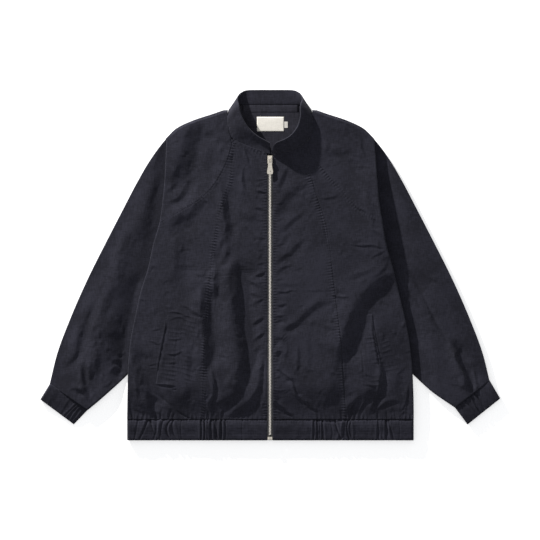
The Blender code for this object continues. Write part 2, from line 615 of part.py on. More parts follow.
def cuff(side):
    seam_out, seam_in, end_out, end_in = [np.array(c) for c in CUFF_CORNERS[side]]
    start, end, pleats, rise = CUFF_GATHERS[side]
    turns = arc(0.0, 180.0, 7)[1:-1]
    front = np.linspace(0.04, 0.96, 21)
    back = np.linspace(0.96, 0.04, 7)
    rows = []
    for v in (0.0, 0.5, 1.0):
        outer = seam_out + v * (end_out - seam_out)
        inner = seam_in + v * (end_in - seam_in)
        step = (end_out - seam_out) / np.linalg.norm(end_out - seam_out)
        outer, inner = outer + step * SEAM * (1.0 - v), inner + step * SEAM * (1.0 - v)
        crown = 7.4 + 0.8 * math.sin(math.pi * v)
        t = (front - start) / (end - start)
        wave = np.where((t > 0) & (t < 1), rise * (0.5 - 0.5 * np.cos(2 * math.pi * pleats * t)), 0.0)
        shares = np.concatenate([front, 0.96 + 0.04 * np.sin(turns), back, 0.04 - 0.04 * np.sin(turns)])
        height = np.concatenate([crown + wave, 0.5 * crown * (1 + np.cos(turns)), 0.0 * back,
                                 0.5 * crown * (1 - np.cos(turns))])
        spot = outer[None, :] + shares[:, None] * (inner - outer)[None, :]
        rows.append(place(spot[:, 0], spot[:, 1], height, side))
    sheet(named("cuff", side), rows, facing_down=side == RIGHT, wall=DOUBLE_WALL - 0.4, ring=True)


# ---------------------------------------------------------------- pockets, tape, label
def welt(side):
    wall = 1.2
    rows = []
    for down in np.linspace(POCKET[0][0], POCKET[-1][0], 9):
        across = np.linspace(curve(POCKET, down, LEFT), curve(POCKET, down, RIGHT), 5)
        rows.append(place(across, down, front_height(across, down, side) + CLEAR + 0.1 + wall, side))
    sheet(named("welt", side), rows, facing_down=side == LEFT, wall=wall)


def inside_strip(name, x_from, x_to, down_from, down_to, wall, colour):
    """A strip that lies on the inner face of the back panel."""
    across = np.linspace(x_from - ZIP_X, x_to - ZIP_X, 4)
    rows = [place(across, down, WALL + CLEAR + wall, RIGHT) for down in (down_from, down_to)]
    sheet(name, rows, wall=wall, colour=colour)


# ---------------------------------------------------------------- zip
CHAIN_HALF = 1.5        # squares
SLIDER_TOP, SLIDER_END = 156.0, 164.6
PULL_AXIS = 159.6
PULL_END = 174.7
CHAIN_END = 438.4


def zip_height(down):
    return front_height(3.0, down, RIGHT)


def zip_tape(side):
    """Woven tape beside the chain, under the edge of the front panel; open in a V at the neck."""
    rows = []
    for down in np.linspace(159.0, HEM_END - 0.6, 17):
        across = np.array([CHAIN_HALF + 0.2, 2.9, 5.5])
        edge = 0.5 * (front_height(3.0, down, LEFT) + front_height(3.0, down, RIGHT))
        top = edge - BAND_WALL - 0.7 - smooth((down - 426.0) / 9.0)
        rows.append(place(across, down, top, side))
    sheet(named("zip_tape", side), rows, facing_down=side == LEFT, wall=TAPE_WALL, colour=(0.04, 0.04, 0.05))


def tube(name, rings, colour, roughness, metallic):
    """Closed body from a list of same-length rings of points."""
    shape = bmesh.new()
    loops = [[shape.verts.new(point) for point in ring] for ring in rings]
    count = len(loops[0])
    for a, b in zip(loops, loops[1:]):
        for i in range(count):
            shape.faces.new([a[i], a[(i + 1) % count], b[(i + 1) % count], b[i]])
    shape.faces.new(loops[0][::-1])
    shape.faces.new(loops[-1])
    bmesh.ops.recalc_face_normals(shape, faces=shape.faces)
    mesh = bpy.data.meshes.new(name)
    shape.to_mesh(mesh)
    shape.free()
    return finish(name, mesh, colour, roughness, metallic)


def zip_chain():
    rings = []
    for down in np.linspace(SLIDER_END + 0.3, CHAIN_END - 2.2, 17):
        top = float(zip_height(down))
        corners = [(-CHAIN_HALF, top - 2.2), (CHAIN_HALF, top - 2.2),
                   (CHAIN_HALF, top - 0.1), (-CHAIN_HALF, top - 0.1)]
        rings.append([tuple(place(a, down, z, RIGHT)) for a, z in corners])
    tube("zip_chain", rings, METAL, 0.35, 1.0)


def block(name, half_across, down_from, down_to, low, high, taper=1.0, centre=0.0):
    """Metal block with a smaller top."""
    rings = []
    middle = 0.5 * (down_from + down_to)
    for share, height in ((1.0, low), (taper, high)):
        half = 0.5 * (down_to - down_from) * share
        rings.append([tuple(place(centre + s * half_across * share, middle + t * half, height, RIGHT))
                      for s, t in ((-1, -1), (1, -1), (1, 1), (-1, 1))])
    return tube(name, rings, METAL, 0.3, 1.0)


def combine(target, tool, operation):
    """Exact boolean; the tool moves to the cutters collection and isn't exported."""
    jacket.objects.unlink(tool)
    cutters.objects.link(tool)
    tool.hide_render = True
    tool.display_type = "WIRE"
    step = target.modifiers.new(tool.name, "BOOLEAN")
    step.operation = operation
    step.solver = "EXACT"
    step.object = tool


SLIDER_HEIGHT = 4.4     # mm
BRIDGE_HALF = 2.3       # squares from the pull tab's axis to the bridge's outer end
BRIDGE_RISE = 4.2       # mm
BRIDGE_INSIDE = 0.64    # inner arch over outer arch
CROSSBAR_HALF = 0.35    # squares


def slider():
    """Slider body with the bridge that holds the pull tab; returns the height of its top."""
    base = float(zip_height(160.0)) - 1.4
    body = block("zip_slider", 2.6, SLIDER_TOP, SLIDER_END, base, base + SLIDER_HEIGHT, taper=0.86)
    edge = body.modifiers.new("edge", "BEVEL")
    edge.width = 0.5 * MM
    edge.segments = 2
    rings = []
    for turn in np.radians(np.linspace(0.0, 180.0, 9)):
        ring = []
        for across, scale in ((-0.45, 1.0), (0.45, 1.0), (0.45, BRIDGE_INSIDE), (-0.45, BRIDGE_INSIDE)):
            down = PULL_AXIS - math.cos(turn) * BRIDGE_HALF * scale
            height = base + SLIDER_HEIGHT - 0.3 + math.sin(turn) * BRIDGE_RISE * scale
            ring.append(tuple(place(across, down, height, RIGHT)))
        rings.append(ring)
    combine(body, tube("zip_bridge", rings, METAL, 0.3, 1.0), "UNION")
    return base + SLIDER_HEIGHT


def pull_tab(seat):
    """Pull tab hung on the bridge: crossbar, eye, waist, flared end with two small holes."""
    half_thick = 0.6
    axis_height = seat + 1.1
    outline = [  # down, half width
        (PULL_AXIS - CROSSBAR_HALF, 1.9), (161.0, 2.0), (164.6, 1.9), (167.6, 2.1), (171.6, 2.9),
        (173.6, 2.9), (PULL_END, 2.1),
    ]
    points = [(-half, down) for down, half in outline] + [(half, down) for down, half in outline[::-1]]
    rings = [[tuple(place(a, d, axis_height + lift, RIGHT)) for a, d in points]
             for lift in (-half_thick, half_thick)]
    tab = tube("zip_pull", rings, METAL, 0.25, 1.0)
    holes = [  # name, centre, half width, from, to
        ("pull_eye", 0.0, 1.05, PULL_AXIS + CROSSBAR_HALF, 163.7),
        ("pull_hole_left", -0.8, 0.35, 171.2, 172.3), ("pull_hole_right", 0.8, 0.35, 171.2, 172.3),
    ]
    for name, centre, half, first, last in holes:
        hole = block(name, half, first, last, axis_height - 3.0, axis_height + 3.0, centre=centre)
        combine(tab, hole, "DIFFERENCE")
    hinge = bpy.data.objects.new("pull_axis", None)
    hinge.location = tuple(place(0.0, PULL_AXIS, axis_height, RIGHT))
    jacket.objects.link(hinge)
    bpy.context.view_layer.update()
    tab.parent = hinge
    tab.matrix_parent_inverse = hinge.matrix_world.inverted()


def zip_box(side):
    """Half of the bottom box: sloped outer side, flat top."""
    top = float(zip_height(438.0))
    section = [(0.1, top - 1.4), (2.4, top - 1.4), (2.2, top + 0.9), (0.1, top + 0.9)]
    rings = [[tuple(place(across, down, height, side)) for across, height in section]
             for down in (436.4, 439.2)]
    tube(named("zip_box", side), rings, METAL, 0.3, 1.0)


# ---------------------------------------------------------------- build
cutters = bpy.data.collections.new("cutters")
bpy.context.scene.collection.children.link(cutters)

back_panel()
for which in (LEFT, RIGHT):
    sleeve_back(which)
    sleeve_front(which)
    front_side(which)
    front_centre(which)
    cuff(which)
    welt(which)
    zip_tape(which)
    zip_box(which)
hem_band()
collar()
inside_strip("neck_tape", 243.0, 297.0, 106.4, 112.0, TAPE_WALL, TWILL)
inside_strip("neck_label", 257.0, 284.0, 117.0, 131.5, LABEL_WALL, (0.78, 0.75, 0.69))
inside_strip("size_tab", 284.4, 287.6, 122.0, 128.0, LABEL_WALL, (0.60, 0.58, 0.54))
zip_chain()
pull_tab(slider())
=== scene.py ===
"""Looks of the bomber jacket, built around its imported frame.

The cloth is rebuilt at 1 to 2 mm as thin shells on the same outlines and heights as the solids.
"x" and "y" are places on a sheet of 2 mm squares with the zip at x 270 and y counting down the sheet;
"across" counts squares out from the zip. Heights are in millimetres.
"""
import math

import bpy
import numpy as np
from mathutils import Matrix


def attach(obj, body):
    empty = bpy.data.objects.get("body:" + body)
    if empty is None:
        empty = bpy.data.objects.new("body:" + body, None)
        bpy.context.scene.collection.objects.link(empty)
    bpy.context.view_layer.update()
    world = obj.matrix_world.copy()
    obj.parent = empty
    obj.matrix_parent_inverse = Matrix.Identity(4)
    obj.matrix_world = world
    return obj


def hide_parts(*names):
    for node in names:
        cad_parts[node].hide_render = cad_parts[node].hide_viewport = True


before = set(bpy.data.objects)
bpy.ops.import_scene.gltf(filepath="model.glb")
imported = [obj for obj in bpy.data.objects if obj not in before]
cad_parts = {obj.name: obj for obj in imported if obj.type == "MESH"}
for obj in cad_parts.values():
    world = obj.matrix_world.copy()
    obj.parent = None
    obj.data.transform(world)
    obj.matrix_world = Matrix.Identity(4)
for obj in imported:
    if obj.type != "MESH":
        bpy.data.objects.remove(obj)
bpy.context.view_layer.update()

# ---------------------------------------------------------------- sizes, as in the part's source
GRID = 0.002             # metres per square
MM = 0.001
ZIP_X = 270.0
MID_DOWN = 264.5         # sheet row of the frame's origin
WALL = 1.2               # cloth, mm
SEAM = 0.075             # half of a seam's gap, squares
CLOSED = -0.03           # seams that show no line meet edge to edge
EDGE_GAP = 0.25          # half the gap between an upper and a lower piece at their edge, mm
BODY_TOP = 19.5          # heights, mm
HEM_TOP = 11.0
SHOULDER_MID = 6.5
ARM_TOP = 10.0
ARM_EDGE = 7.0
ARM_UNDER = 4.4
BODY_LIFT = 5.6          # how far the back rises where it lies on a sleeve, mm
TUCK = 8.0               # how far a sleeve runs in under the fold beside it, squares
ROLL = 1.6               # radius of a rolled edge, squares
FRONT_EDGE = 3.0         # from the middle of the zip to the edge of a front, squares
UNDER_COLLAR = 1.8       # how far the fronts run on under the collar, squares
HEM_SEAM = 419.0         # sheet rows
HEM_END = 440.0
FOLD_START = 140.0
FOLD_END = 222.0
SHOULDER_FIRST, SHOULDER_LAST = 110.6, 221.6
RAGLAN_END = 220.5
SIDE_NECK = 38.2         # across, where a side panel begins at the collar
FRONT_ROWS = 3 * 180 + 1
LEFT, RIGHT = -1, 1
SIDES = (LEFT, RIGHT)
SEED = 7

OUTLINE = [  # down, across: shoulder and outer sleeve edge
    (109, 41), (111, 47.5), (114, 56), (120, 74.5), (128, 92), (136, 101), (144, 108), (160, 119.5),
    (184, 133.5), (208, 146), (240, 162.5), (280, 182.5), (320, 200), (352, 212), (384, 220),
]
BODY_EDGE = [  # down, left, right: shoulder fold, then the side fold of the body
    (140, 103, 104), (160, 104, 105.5), (180, 105, 107), (200, 107, 108.5), (222, 110, 112),
    (243, 116, 115.5), (268, 121.5, 122.5), (292, 129, 128.5), (315, 134, 134), (340, 139, 139),
    (360, 141, 141.3), (390, 142, 143), (440, 143, 143.5),
]
FRONT_RAGLAN = [  # down, left, right: collar edge, then front raglan seam
    (109, 43.2, 43.2), (122, 42.8, 43), (132, 41.8, 42.6), (138, 39.8, 40.6), (144, 38.2, 38.6),
    (152, 40, 39.4), (162, 43, 46), (172, 48, 54.5), (184, 55, 64.5), (192, 62, 71.5), (199, 70, 77.7),
    (206, 80, 84.3), (212, 91, 90.8), (220.5, 106, 103.5), (222, 108, 109),
]
PRINCESS = [  # down, left, right: seam between front centre and front side
    (138, 36.4, 31), (150, 37, 31), (165, 38, 36), (180, 39.5, 41.5), (200, 46, 47.3), (220, 52, 54.5),
    (250, 57, 59.5), (280, 60, 63), (312, 63, 67), (340, 65, 70.4), (380, 66.3, 73), (419, 67.3, 76),
]
NECKLINE = [  # across, left, right: sheet row of the front collar seam
    (0, 155.4, 158), (3, 154.6, 157.2), (14, 150.8, 154.2), (26, 146.4, 149.2), (36, 141.6, 142.9),
    (42, 137, 138),
]
BACK_RAGLAN = [  # down, across
    (105, 33.5), (120, 42), (140, 54), (180, 78), (200, 90), (222, 101.5),
]
UNDERARM = [  # down, left, right: inner edge of the sleeve, under the body down to row 375
    (222, 102, 102), (243, 107.5, 107.5), (268, 113.5, 113.5), (292, 120.5, 120.5), (315, 126, 126),
    (340, 131, 131), (360, 134.5, 134.5), (370, 138, 138.4), (376, 143.8, 144.6), (383, 151, 152),
    (392, 161, 162.2), (400, 170, 173.5), (410, 182, 188.5),
]
SLEEVE_END = {LEFT: (384.0, 410.0), RIGHT: (380.5, 407.5)}
POCKET = [  # down, inner edge, slit edge (across), the same on both sides
    (314, 87.5, 102), (332, 89, 104.8), (357, 91.5, 109.6), (384, 93.5, 113.8),
]

# ---------------------------------------------------------------- folds seen on the cloth
def strokes(heads, rows):
    """Rows of (points, numbers ...) from flat rows: that many numbers, then x, y, x, y ..."""
    return [(tuple(zip(row[heads::2], row[heads + 1::2])), *row[:heads]) for row in rows]

# A shade line is a slope that falls away from the light, between a crest on the light's side and a
# trough beyond. Each row: half width on the light's side and on the far side (squares), darkness
# (1 is steep enough to be just in shade), then the points.
BODY_SHADES = strokes(3, [
    # left shoulder and chest
    (9.5, 9, 0.8, 200, 120, 195, 134, 190, 150, 186, 165, 178, 182, 172, 192),
    (2, 2.4, 0.6, 181, 182, 174, 188, 165, 196),
    (3, 3, 1, 190, 176, 187, 188, 181, 197, 173, 203, 164, 209),
    (5.4, 5.2, 0.72, 209, 195, 201, 204, 194, 212, 184, 217, 164, 227),
    (8, 7, 0.55, 198, 212, 183, 224, 166, 238), (6, 8, 0.45, 185, 230, 180, 250, 179, 266, 181, 288),
    (3.6, 4.2, 0.85, 220, 184, 225, 200, 227, 215, 229, 231, 228, 248),
    (1.8, 1.8, 0.6, 225, 234, 222, 252), (2.4, 2.4, 0.9, 228, 242, 229, 254, 226, 261, 215, 265),
    (3, 3, 1.1, 219, 262, 217, 278, 216, 306),
    (1.7, 2, 0.8, 242, 166, 243, 180, 245, 188, 248, 195, 253, 204),
    (2.8, 2.8, 0.45, 236, 206, 247, 216, 253, 222, 260, 232),
    (1.2, 1.5, 0.7, 243, 146, 247, 157, 250, 168), (2.6, 3, 0.45, 216, 130, 204, 138),
    (5, 5, 0.45, 213, 142, 209, 158, 205, 178), (2.5, 3, 0.3, 232, 150, 226, 170),
    (4, 4, 0.25, 262, 214, 250, 222, 241, 240),
    # left front, lower half
    (8, 6, 1.12, 237, 256, 236, 275, 239, 300, 240, 325, 243, 345, 244, 365, 243, 382, 238, 402),
    (6, 6.5, 0.95, 203, 284, 206, 308, 208, 335, 208, 372),
    (1.8, 1.8, 1.6, 211, 364, 214, 380, 215, 392, 212, 404, 213, 419),
    (3.2, 3, 1.3, 213, 407, 224, 402, 232, 398, 243, 391),
    (3.4, 3.6, 1.35, 265, 354, 262, 381, 256, 394, 247, 405, 238, 411, 226, 419),
    (1.2, 1.3, 1.3, 227, 403, 224, 410, 219, 419),
    (5, 6, 1, 132, 346, 138, 366, 145, 384, 151, 400, 156, 416),
    (2, 2.4, 0.6, 135, 370, 138, 388, 140, 404), (1.6, 1.8, 0.8, 146, 388, 151, 403, 153, 418),
    (1.4, 1.4, 0.8, 129, 396, 131, 410, 132, 419),
    (1.4, 1.7, 0.95, 178, 302, 190, 310, 200, 315, 208, 325),
    (3, 3, 0.45, 188, 340, 190, 362, 189, 384), (3.5, 3.5, 0.4, 186, 384, 188, 404),
    (1.1, 1.3, 0.7, 218, 354, 232, 358), (4, 5, 0.35, 224, 342, 221, 368, 218, 392),
    (0.8, 1, 1, 149, 332, 156, 331, 163, 329), (0.8, 1, 1.2, 150, 340, 157, 343, 163, 342),
    (0.8, 1, 1, 149, 363, 154, 364, 160, 362), (0.7, 0.9, 0.9, 151, 368, 158, 367),
    (0.8, 1.1, 0.9, 168, 321, 178, 319, 190, 321), (0.8, 1.1, 0.9, 166, 338, 176, 340, 186, 338),
    (0.8, 1.2, 1.2, 164, 353, 174, 354, 186, 351), (0.8, 1.1, 0.9, 162, 364, 172, 362, 180, 363),
    (2, 2.2, 0.8, 268, 316, 258, 321, 249, 329), (1.6, 1.8, 0.9, 268, 331, 258, 338, 250, 349),
    (1.5, 1.8, 1, 263, 342, 254, 353, 249, 365), (1.6, 1.8, 0.6, 268, 299, 256, 303, 246, 307),
    (1.8, 2, 0.7, 238, 284, 247, 282, 258, 287, 267, 291),
    (1.4, 1.6, 0.7, 248, 292, 256, 296, 266, 297), (1.5, 1.7, 0.6, 192, 272, 201, 276, 207, 284),
    # right front, upper half
    (2.4, 2.4, 1, 289, 166, 284, 178, 277, 194),
    (4, 4.4, 0.55, 312, 184, 297, 189, 288, 196, 281, 207, 277, 224),
    (2.6, 2.6, 0.65, 308, 211, 295, 220, 287, 227, 275, 236),
    (3, 3, 0.8, 309, 236, 296, 248, 287, 255, 273, 266), (2.2, 2.4, 0.85, 295, 262, 284, 269, 275, 276),
    (1.2, 1.5, 0.7, 318, 199, 336, 196), (1.1, 1.5, 1, 346, 244, 360, 246.5, 372, 246, 387, 249),
    (1, 1.1, 0.9, 370, 259, 385, 249), (1.6, 1.8, 0.6, 370, 228, 378, 234, 385, 242),
    (1.4, 1.6, 0.6, 387, 256, 385, 267, 377, 274, 368, 276),
    (1.3, 1.6, 0.6, 360, 130, 364, 148, 369, 166), (2.2, 2.6, 0.32, 368, 180, 371, 210, 377, 240),
    (4, 4, 0.45, 318, 152, 348, 153), (2.2, 2.6, 0.55, 340, 281, 357, 275, 378, 266),
    (1, 1.1, 1, 273, 296, 286, 292, 300, 290), (1, 1.1, 0.4, 300, 290, 316, 290, 332, 291),
    (1, 1.2, 0.9, 330, 293, 340, 297, 352, 297), (1, 1.2, 0.6, 352, 205, 362, 210, 370, 217),
    # right front, lower half
    (3.4, 3.2, 0.9, 335, 300, 322, 303, 313, 310, 305, 317, 296, 325, 279, 334),
    (2.4, 2.4, 0.5, 301, 322, 292, 327, 282, 332), (1.6, 1.8, 0.8, 299, 341, 299, 362, 297, 382),
    (1.8, 2.2, 0.35, 310, 330, 310, 355, 308, 380),
    (1.2, 1.2, 1.5, 273, 362, 283, 373, 291, 380, 295, 387, 299, 396, 306, 404, 313, 410, 323, 412),
    (1, 1.1, 1, 273, 391, 283, 391, 292, 387), (1.6, 1.6, 1.6, 270, 398, 280, 405, 287, 412, 295, 419),
    (3.4, 3.2, 0.6, 272, 335, 280, 340, 288, 351), (2.6, 2.8, 0.55, 272, 315, 280, 318, 289, 323),
    (9, 7.5, 0.95, 398, 274, 378, 287, 366, 299, 357, 314, 351, 330, 347, 346, 343, 364),
    (8, 7, 0.5, 362, 304, 353, 322, 347, 342, 342, 362, 337, 384, 332, 408),
    (2.2, 2.4, 1.7, 380, 360, 381, 378, 380, 391, 375, 401, 371, 410, 367, 419),
    (2.6, 2.4, 1.7, 363, 394, 355, 401, 351, 408, 348, 419),
    (4.5, 4, 1.1, 378, 383, 371, 393, 363, 405), (1.2, 1.3, 1.4, 366, 398, 361, 408, 358, 419),
    (1.8, 2.6, 1.2, 372, 419, 378, 409, 385, 404, 394, 401, 404, 402),
    (2, 2.4, 0.4, 383, 414, 392, 409, 402, 408),
    (1.3, 1.4, 1.2, 410, 380, 408, 395, 405, 405, 397, 418), (4, 5, 0.3, 401, 360, 397, 396),
    (2, 2.4, 0.5, 326, 396, 324, 412), (0.8, 1, 0.9, 367, 352, 376, 351, 384, 354),
    (1, 1.2, 1.2, 362, 384, 372, 386, 379, 384), (0.8, 1, 0.8, 363, 375, 372, 377),
])
SEWN_SHADES = strokes(3, [  # pocket slits and the ends of the welts
    (0.5, 0.7, 2.9, 168.6, 312, 165.4, 330, 162.4, 345, 159.2, 362, 156.6, 381),
    (0.7, 1.1, 3.2, 154, 384, 166, 384.5, 178, 386), (0.7, 1, 1.2, 166, 313, 176, 312.5, 186, 315),
    (0.5, 0.6, 0.7, 178.5, 316, 175.6, 345, 172, 382), (0.5, 0.6, 0.5, 183, 316, 180.4, 345, 177, 382),
    (0.6, 0.9, 2.2, 372.6, 310, 372.2, 330, 375, 346, 378.5, 372),
    (0.9, 1.2, 1, 347, 313, 360, 311.5, 373, 313), (0.8, 1, 0.8, 350, 318, 362, 317),
    (0.5, 0.7, 0.9, 360.5, 343, 361.5, 362, 363, 384),
    (0.5, 0.6, 0.6, 364.5, 343, 365.5, 362, 367, 384),
])
ARM_SHADES = strokes(3, [
    (4, 5, 0.75, 83, 318, 81, 334, 77, 350, 66, 365),
    (17, 17, 0.3, 122, 268, 118, 310, 108, 350, 98, 384),
    (5, 4.5, 0.42, 162, 172, 155, 190, 150, 208, 145, 232), (3.5, 4, 0.5, 147, 186, 138, 201, 131, 216),
    (4, 6, 0.7, 130, 222, 126, 240, 122, 258, 118, 284), (4, 5, 0.5, 114, 282, 108, 300, 101, 322),
    (6, 5, 0.5, 104, 276, 92, 302, 80, 326),
    (7, 3.6, 1, 94, 296, 86, 316, 81, 332, 78, 347, 72, 358, 56, 370),
    (2, 2, 0.6, 80, 340, 75, 355, 62, 365), (3, 3.4, 0.22, 88, 338, 108, 335, 132, 338),
    (2.4, 2.6, 1.4, 79, 362, 83, 376, 86, 388, 92, 404), (2, 2.6, 0.9, 91, 362, 92, 380, 97, 398),
    (3, 3.6, 0.6, 100, 342, 97, 362, 100, 386), (1.8, 2.2, 1.3, 68, 391, 78, 390, 87, 396),
    (3, 4, 0.5, 116, 356, 115, 385), (3, 4, 2.2, 449, 338, 456, 353, 461, 366, 466, 379, 470, 396),
    (1.6, 2, 1.2, 472, 364, 475, 378, 478, 396), (5, 6, 0.4, 404, 268, 412, 286, 417, 304),
])
ARM_GROOVES = strokes(2, [
    (2.4, 3, 404, 262, 425, 300, 437, 324, 450, 346, 463, 370),
    (2, 2.6, 450, 344, 456, 355, 462, 367, 468, 381, 472, 392),
])
EDGE_DROP = [  # down, left, right: how much lower the body is at its side fold (mm)
    (140, 1.5, 4.5), (165, 1.5, 2.5), (183, 1.5, -0.8), (205, 1.5, -4), (238, 1.5, -3.6), (262, 1.5, 0),
    (285, 1.5, 4), (320, 1.5, 6.5), (440, 1.5, 6),
]
# A groove is a narrow deep crease. Each row: half width, depth (mm), then the points.
BODY_GROOVES = strokes(2, [
    (0.9, 2.4, 211, 374, 214, 384, 215, 393, 212, 405, 213, 417),
    (0.7, 1.6, 225, 406, 223, 411, 221, 417), (0.9, 1.6, 218, 404, 226, 402, 232, 399),
    (1.4, 2.2, 146, 380, 156, 391, 166, 401, 176, 410),
    (1.1, 1.3, 244, 148, 251, 156, 258, 165, 264, 176), (0.9, 1, 250, 148, 257, 155, 264, 164),
    (0.8, 0.8, 256, 148, 261, 153, 266, 160), (0.8, 1.6, 175, 409, 182, 414, 190, 418, 197, 419),
    (0.9, 1.2, 257, 396, 248, 406, 238, 412, 229, 417), (0.6, 0.9, 172, 389, 178, 389.5),
    (0.8, 1.1, 277, 366, 285, 375, 292, 381, 295, 387),
    (0.7, 0.7, 295, 387, 299, 396, 306, 404, 313, 410),
    (0.8, 1.6, 273, 400, 280, 405.5, 287, 412, 293, 418), (0.6, 0.9, 275, 391, 283, 391, 289, 389),
    (0.9, 2.2, 381, 372, 381, 381, 380, 390, 376, 400, 372, 409, 369, 417),
    (0.8, 2, 361, 397, 355, 402, 351, 408, 348, 416), (0.6, 1.4, 366, 400, 361, 408, 358, 417),
    (0.7, 1.2, 375, 413, 382, 406, 391, 402), (0.7, 1.2, 409, 386, 408, 395, 405, 405, 399, 415),
    (0.6, 0.7, 353, 246, 363, 247, 374, 245.5), (0.6, 0.8, 257, 190, 262, 193, 267, 193.5),
    (0.6, 0.8, 257, 277, 262, 275, 267, 272),
    (0.6, 0.5, 311, 182, 318, 204, 324.5, 229, 329.5, 257, 333, 283),
    (0.6, 0.45, 336, 306, 340, 336, 342.7, 372, 345.7, 412),
])
# Gathers above the hem: x and y of the top, x at the seam, half width, depth.
HEM_GATHERS = [
    (132, 411, 133, 0.7, 1.2), (143, 409, 145, 0.7, 0.8), (155, 408, 157, 0.8, 1.3),
    (163, 406, 160, 0.8, 1), (172, 407, 168, 1, 1.9), (176, 411, 172, 0.7, 1.2),
    (187, 412, 188, 0.7, 0.9), (196, 411, 197, 0.6, 0.8), (204, 411, 205, 0.7, 1.2),
    (208, 409, 209, 0.7, 1.2), (219, 411, 220, 0.6, 1), (302, 412, 304, 0.6, 0.8),
    (311, 410, 313, 0.7, 1), (317, 411, 318, 0.7, 1), (322, 410, 324, 0.7, 0.9),
    (340, 409, 342, 0.7, 1), (352, 404, 350, 0.7, 1.2), (357, 402, 354, 0.6, 1.3),
    (378, 409, 377, 0.7, 1.2), (386, 408, 387, 0.8, 1.3), (394, 407, 395, 0.7, 1),
    (404, 404, 403, 0.6, 0.9),
]
# Short creases that run out from the zip: x of the zip end, y there, x and y of the far end,
# half width, rise.
ZIP_CREASES = [
    (266, 180, 255, 179, 1, 0.30), (266, 183, 256, 183, 1, 0.35), (266, 186, 254, 185, 1.1, 0.35),
    (266, 194, 254, 191, 1.4, 0.60), (265, 211, 254, 209, 1.4, 0.45), (266, 222, 256, 220, 1.2, 0.25),
    (266, 238, 258, 238, 1.1, 0.25), (266, 251, 256, 250, 1.1, 0.25), (266, 264, 256, 265, 1.3, 0.40),
    (267, 273, 253, 278, 1.7, 0.80), (266, 284, 256, 285, 1.1, 0.30), (266, 299, 252, 302, 1.5, 0.45),
    (266, 318, 250, 325, 1.6, 0.50), (266, 334, 255, 338, 1.4, 0.45), (266, 352, 258, 356, 1.2, 0.35),
    (266, 366, 258, 372, 1.2, 0.30), (266, 390, 259, 393, 1.1, 0.30), (266, 405, 258, 408, 1.1, 0.30),
    (275, 192, 283, 191, 1.1, 0.30), (275, 205, 284, 203, 1.1, 0.30), (275, 222, 284, 220, 1.1, 0.25),
    (275, 246, 285, 243, 1.2, 0.30), (275, 281, 286, 279, 1.2, 0.30), (275, 293, 286, 292, 1.2, 0.35),
    (275, 306, 289, 305, 1.3, 0.60), (275, 316, 287, 316, 1.2, 0.35), (275, 322, 285, 321, 1.2, 0.45),
    (275, 338, 283, 339, 1.2, 0.30), (275, 351, 285, 352, 1.2, 0.50), (275, 360, 282, 359, 1.2, 0.40),
    (275, 368, 281, 369, 1.2, 0.45), (275, 376, 281, 376, 1.2, 0.45), (275, 411, 284, 412, 1.1, 0.30),
]
LIGHT_PLAN = (0.57, 0.822)       # the way the light travels over the sheet (x, down)
LIGHT_RISE = math.radians(12.0)  # its height above the sheet
LAMP_FAR = 4.6                   # metres from the jacket
LAMP_POWER = 2330.0
TAIL = 1.7                       # how slowly a fold dies out beyond its crest


# ---------------------------------------------------------------- numbers and curves
def smooth(t):
    t = np.clip(t, 0.0, 1.0)
    return t * t * (3.0 - 2.0 * t)


def bell(distance, width):
    return np.exp(-(distance / width) ** 2)


def window(t, first, last, ease):
    """1 between first and last, easing to 0 at both."""
    return smooth((t - first) / ease) * smooth((last - t) / ease)


def hermite(xs, ys, at):
    """Smooth curve through points, held at its end values."""
    xs, ys = np.asarray(xs, float), np.asarray(ys, float)
    steps = np.diff(xs)
    slopes = np.diff(ys) / steps
    inner = (slopes[:-1] * steps[1:] + slopes[1:] * steps[:-1]) / (steps[1:] + steps[:-1])
    tangents = np.concatenate([[slopes[0]], inner, [slopes[-1]]])
    at = np.asarray(at, float)
    i = np.clip(np.searchsorted(xs, at, side="right") - 1, 0, len(steps) - 1)
    t = np.clip((at - xs[i]) / steps[i], 0.0, 1.0)
    return (ys[i] * (1 + 2 * t) * (1 - t) ** 2 + tangents[i] * steps[i] * t * (1 - t) ** 2
            + ys[i + 1] * t * t * (3 - 2 * t) - tangents[i + 1] * steps[i] * t * t * (1 - t))


def grid_of(across, down):
    return np.broadcast_arrays(np.asarray(across, float), np.asarray(down, float))


def curve(table, at, side=RIGHT):
    """A table's value; the left's is the last but one where the sides differ."""
    column = -2 if side == LEFT and len(table[0]) > 2 else -1
    return hermite([row[0] for row in table], [row[column] for row in table], at)


def stretch(table, down, side=RIGHT):
    """Distance along an edge per row of the sheet."""
    slope = (curve(table, down + 1.0, side) - curve(table, down - 1.0, side)) / 2.0
    return np.sqrt(1.0 + slope * slope)


def raglan_edge(down, side, toward):
    """Edge of a piece at the front raglan seam; toward is -1 for the front, 1 for the sleeve."""
    return curve(FRONT_RAGLAN, down, side) + toward * CLOSED * stretch(FRONT_RAGLAN, down, side)


def outline_row(across):
    return hermite([row[1] for row in OUTLINE], [row[0] for row in OUTLINE], across)


def noise(x, y, size, seed):
    """Smooth random field from -1 to 1 with features of about that size."""
    lattice = np.random.default_rng(SEED * 1000 + seed).uniform(-1.0, 1.0, (64, 64))
    u, v = np.asarray(x, float) / size, np.asarray(y, float) / size
    i, j = np.floor(u).astype(int), np.floor(v).astype(int)
    s, t = smooth(u - i), smooth(v - j)
    near = lattice[i % 64, j % 64] * (1 - s) + lattice[(i + 1) % 64, j % 64] * s
    far = lattice[i % 64, (j + 1) % 64] * (1 - s) + lattice[(i + 1) % 64, (j + 1) % 64] * s
    return near * (1 - t) + far * t


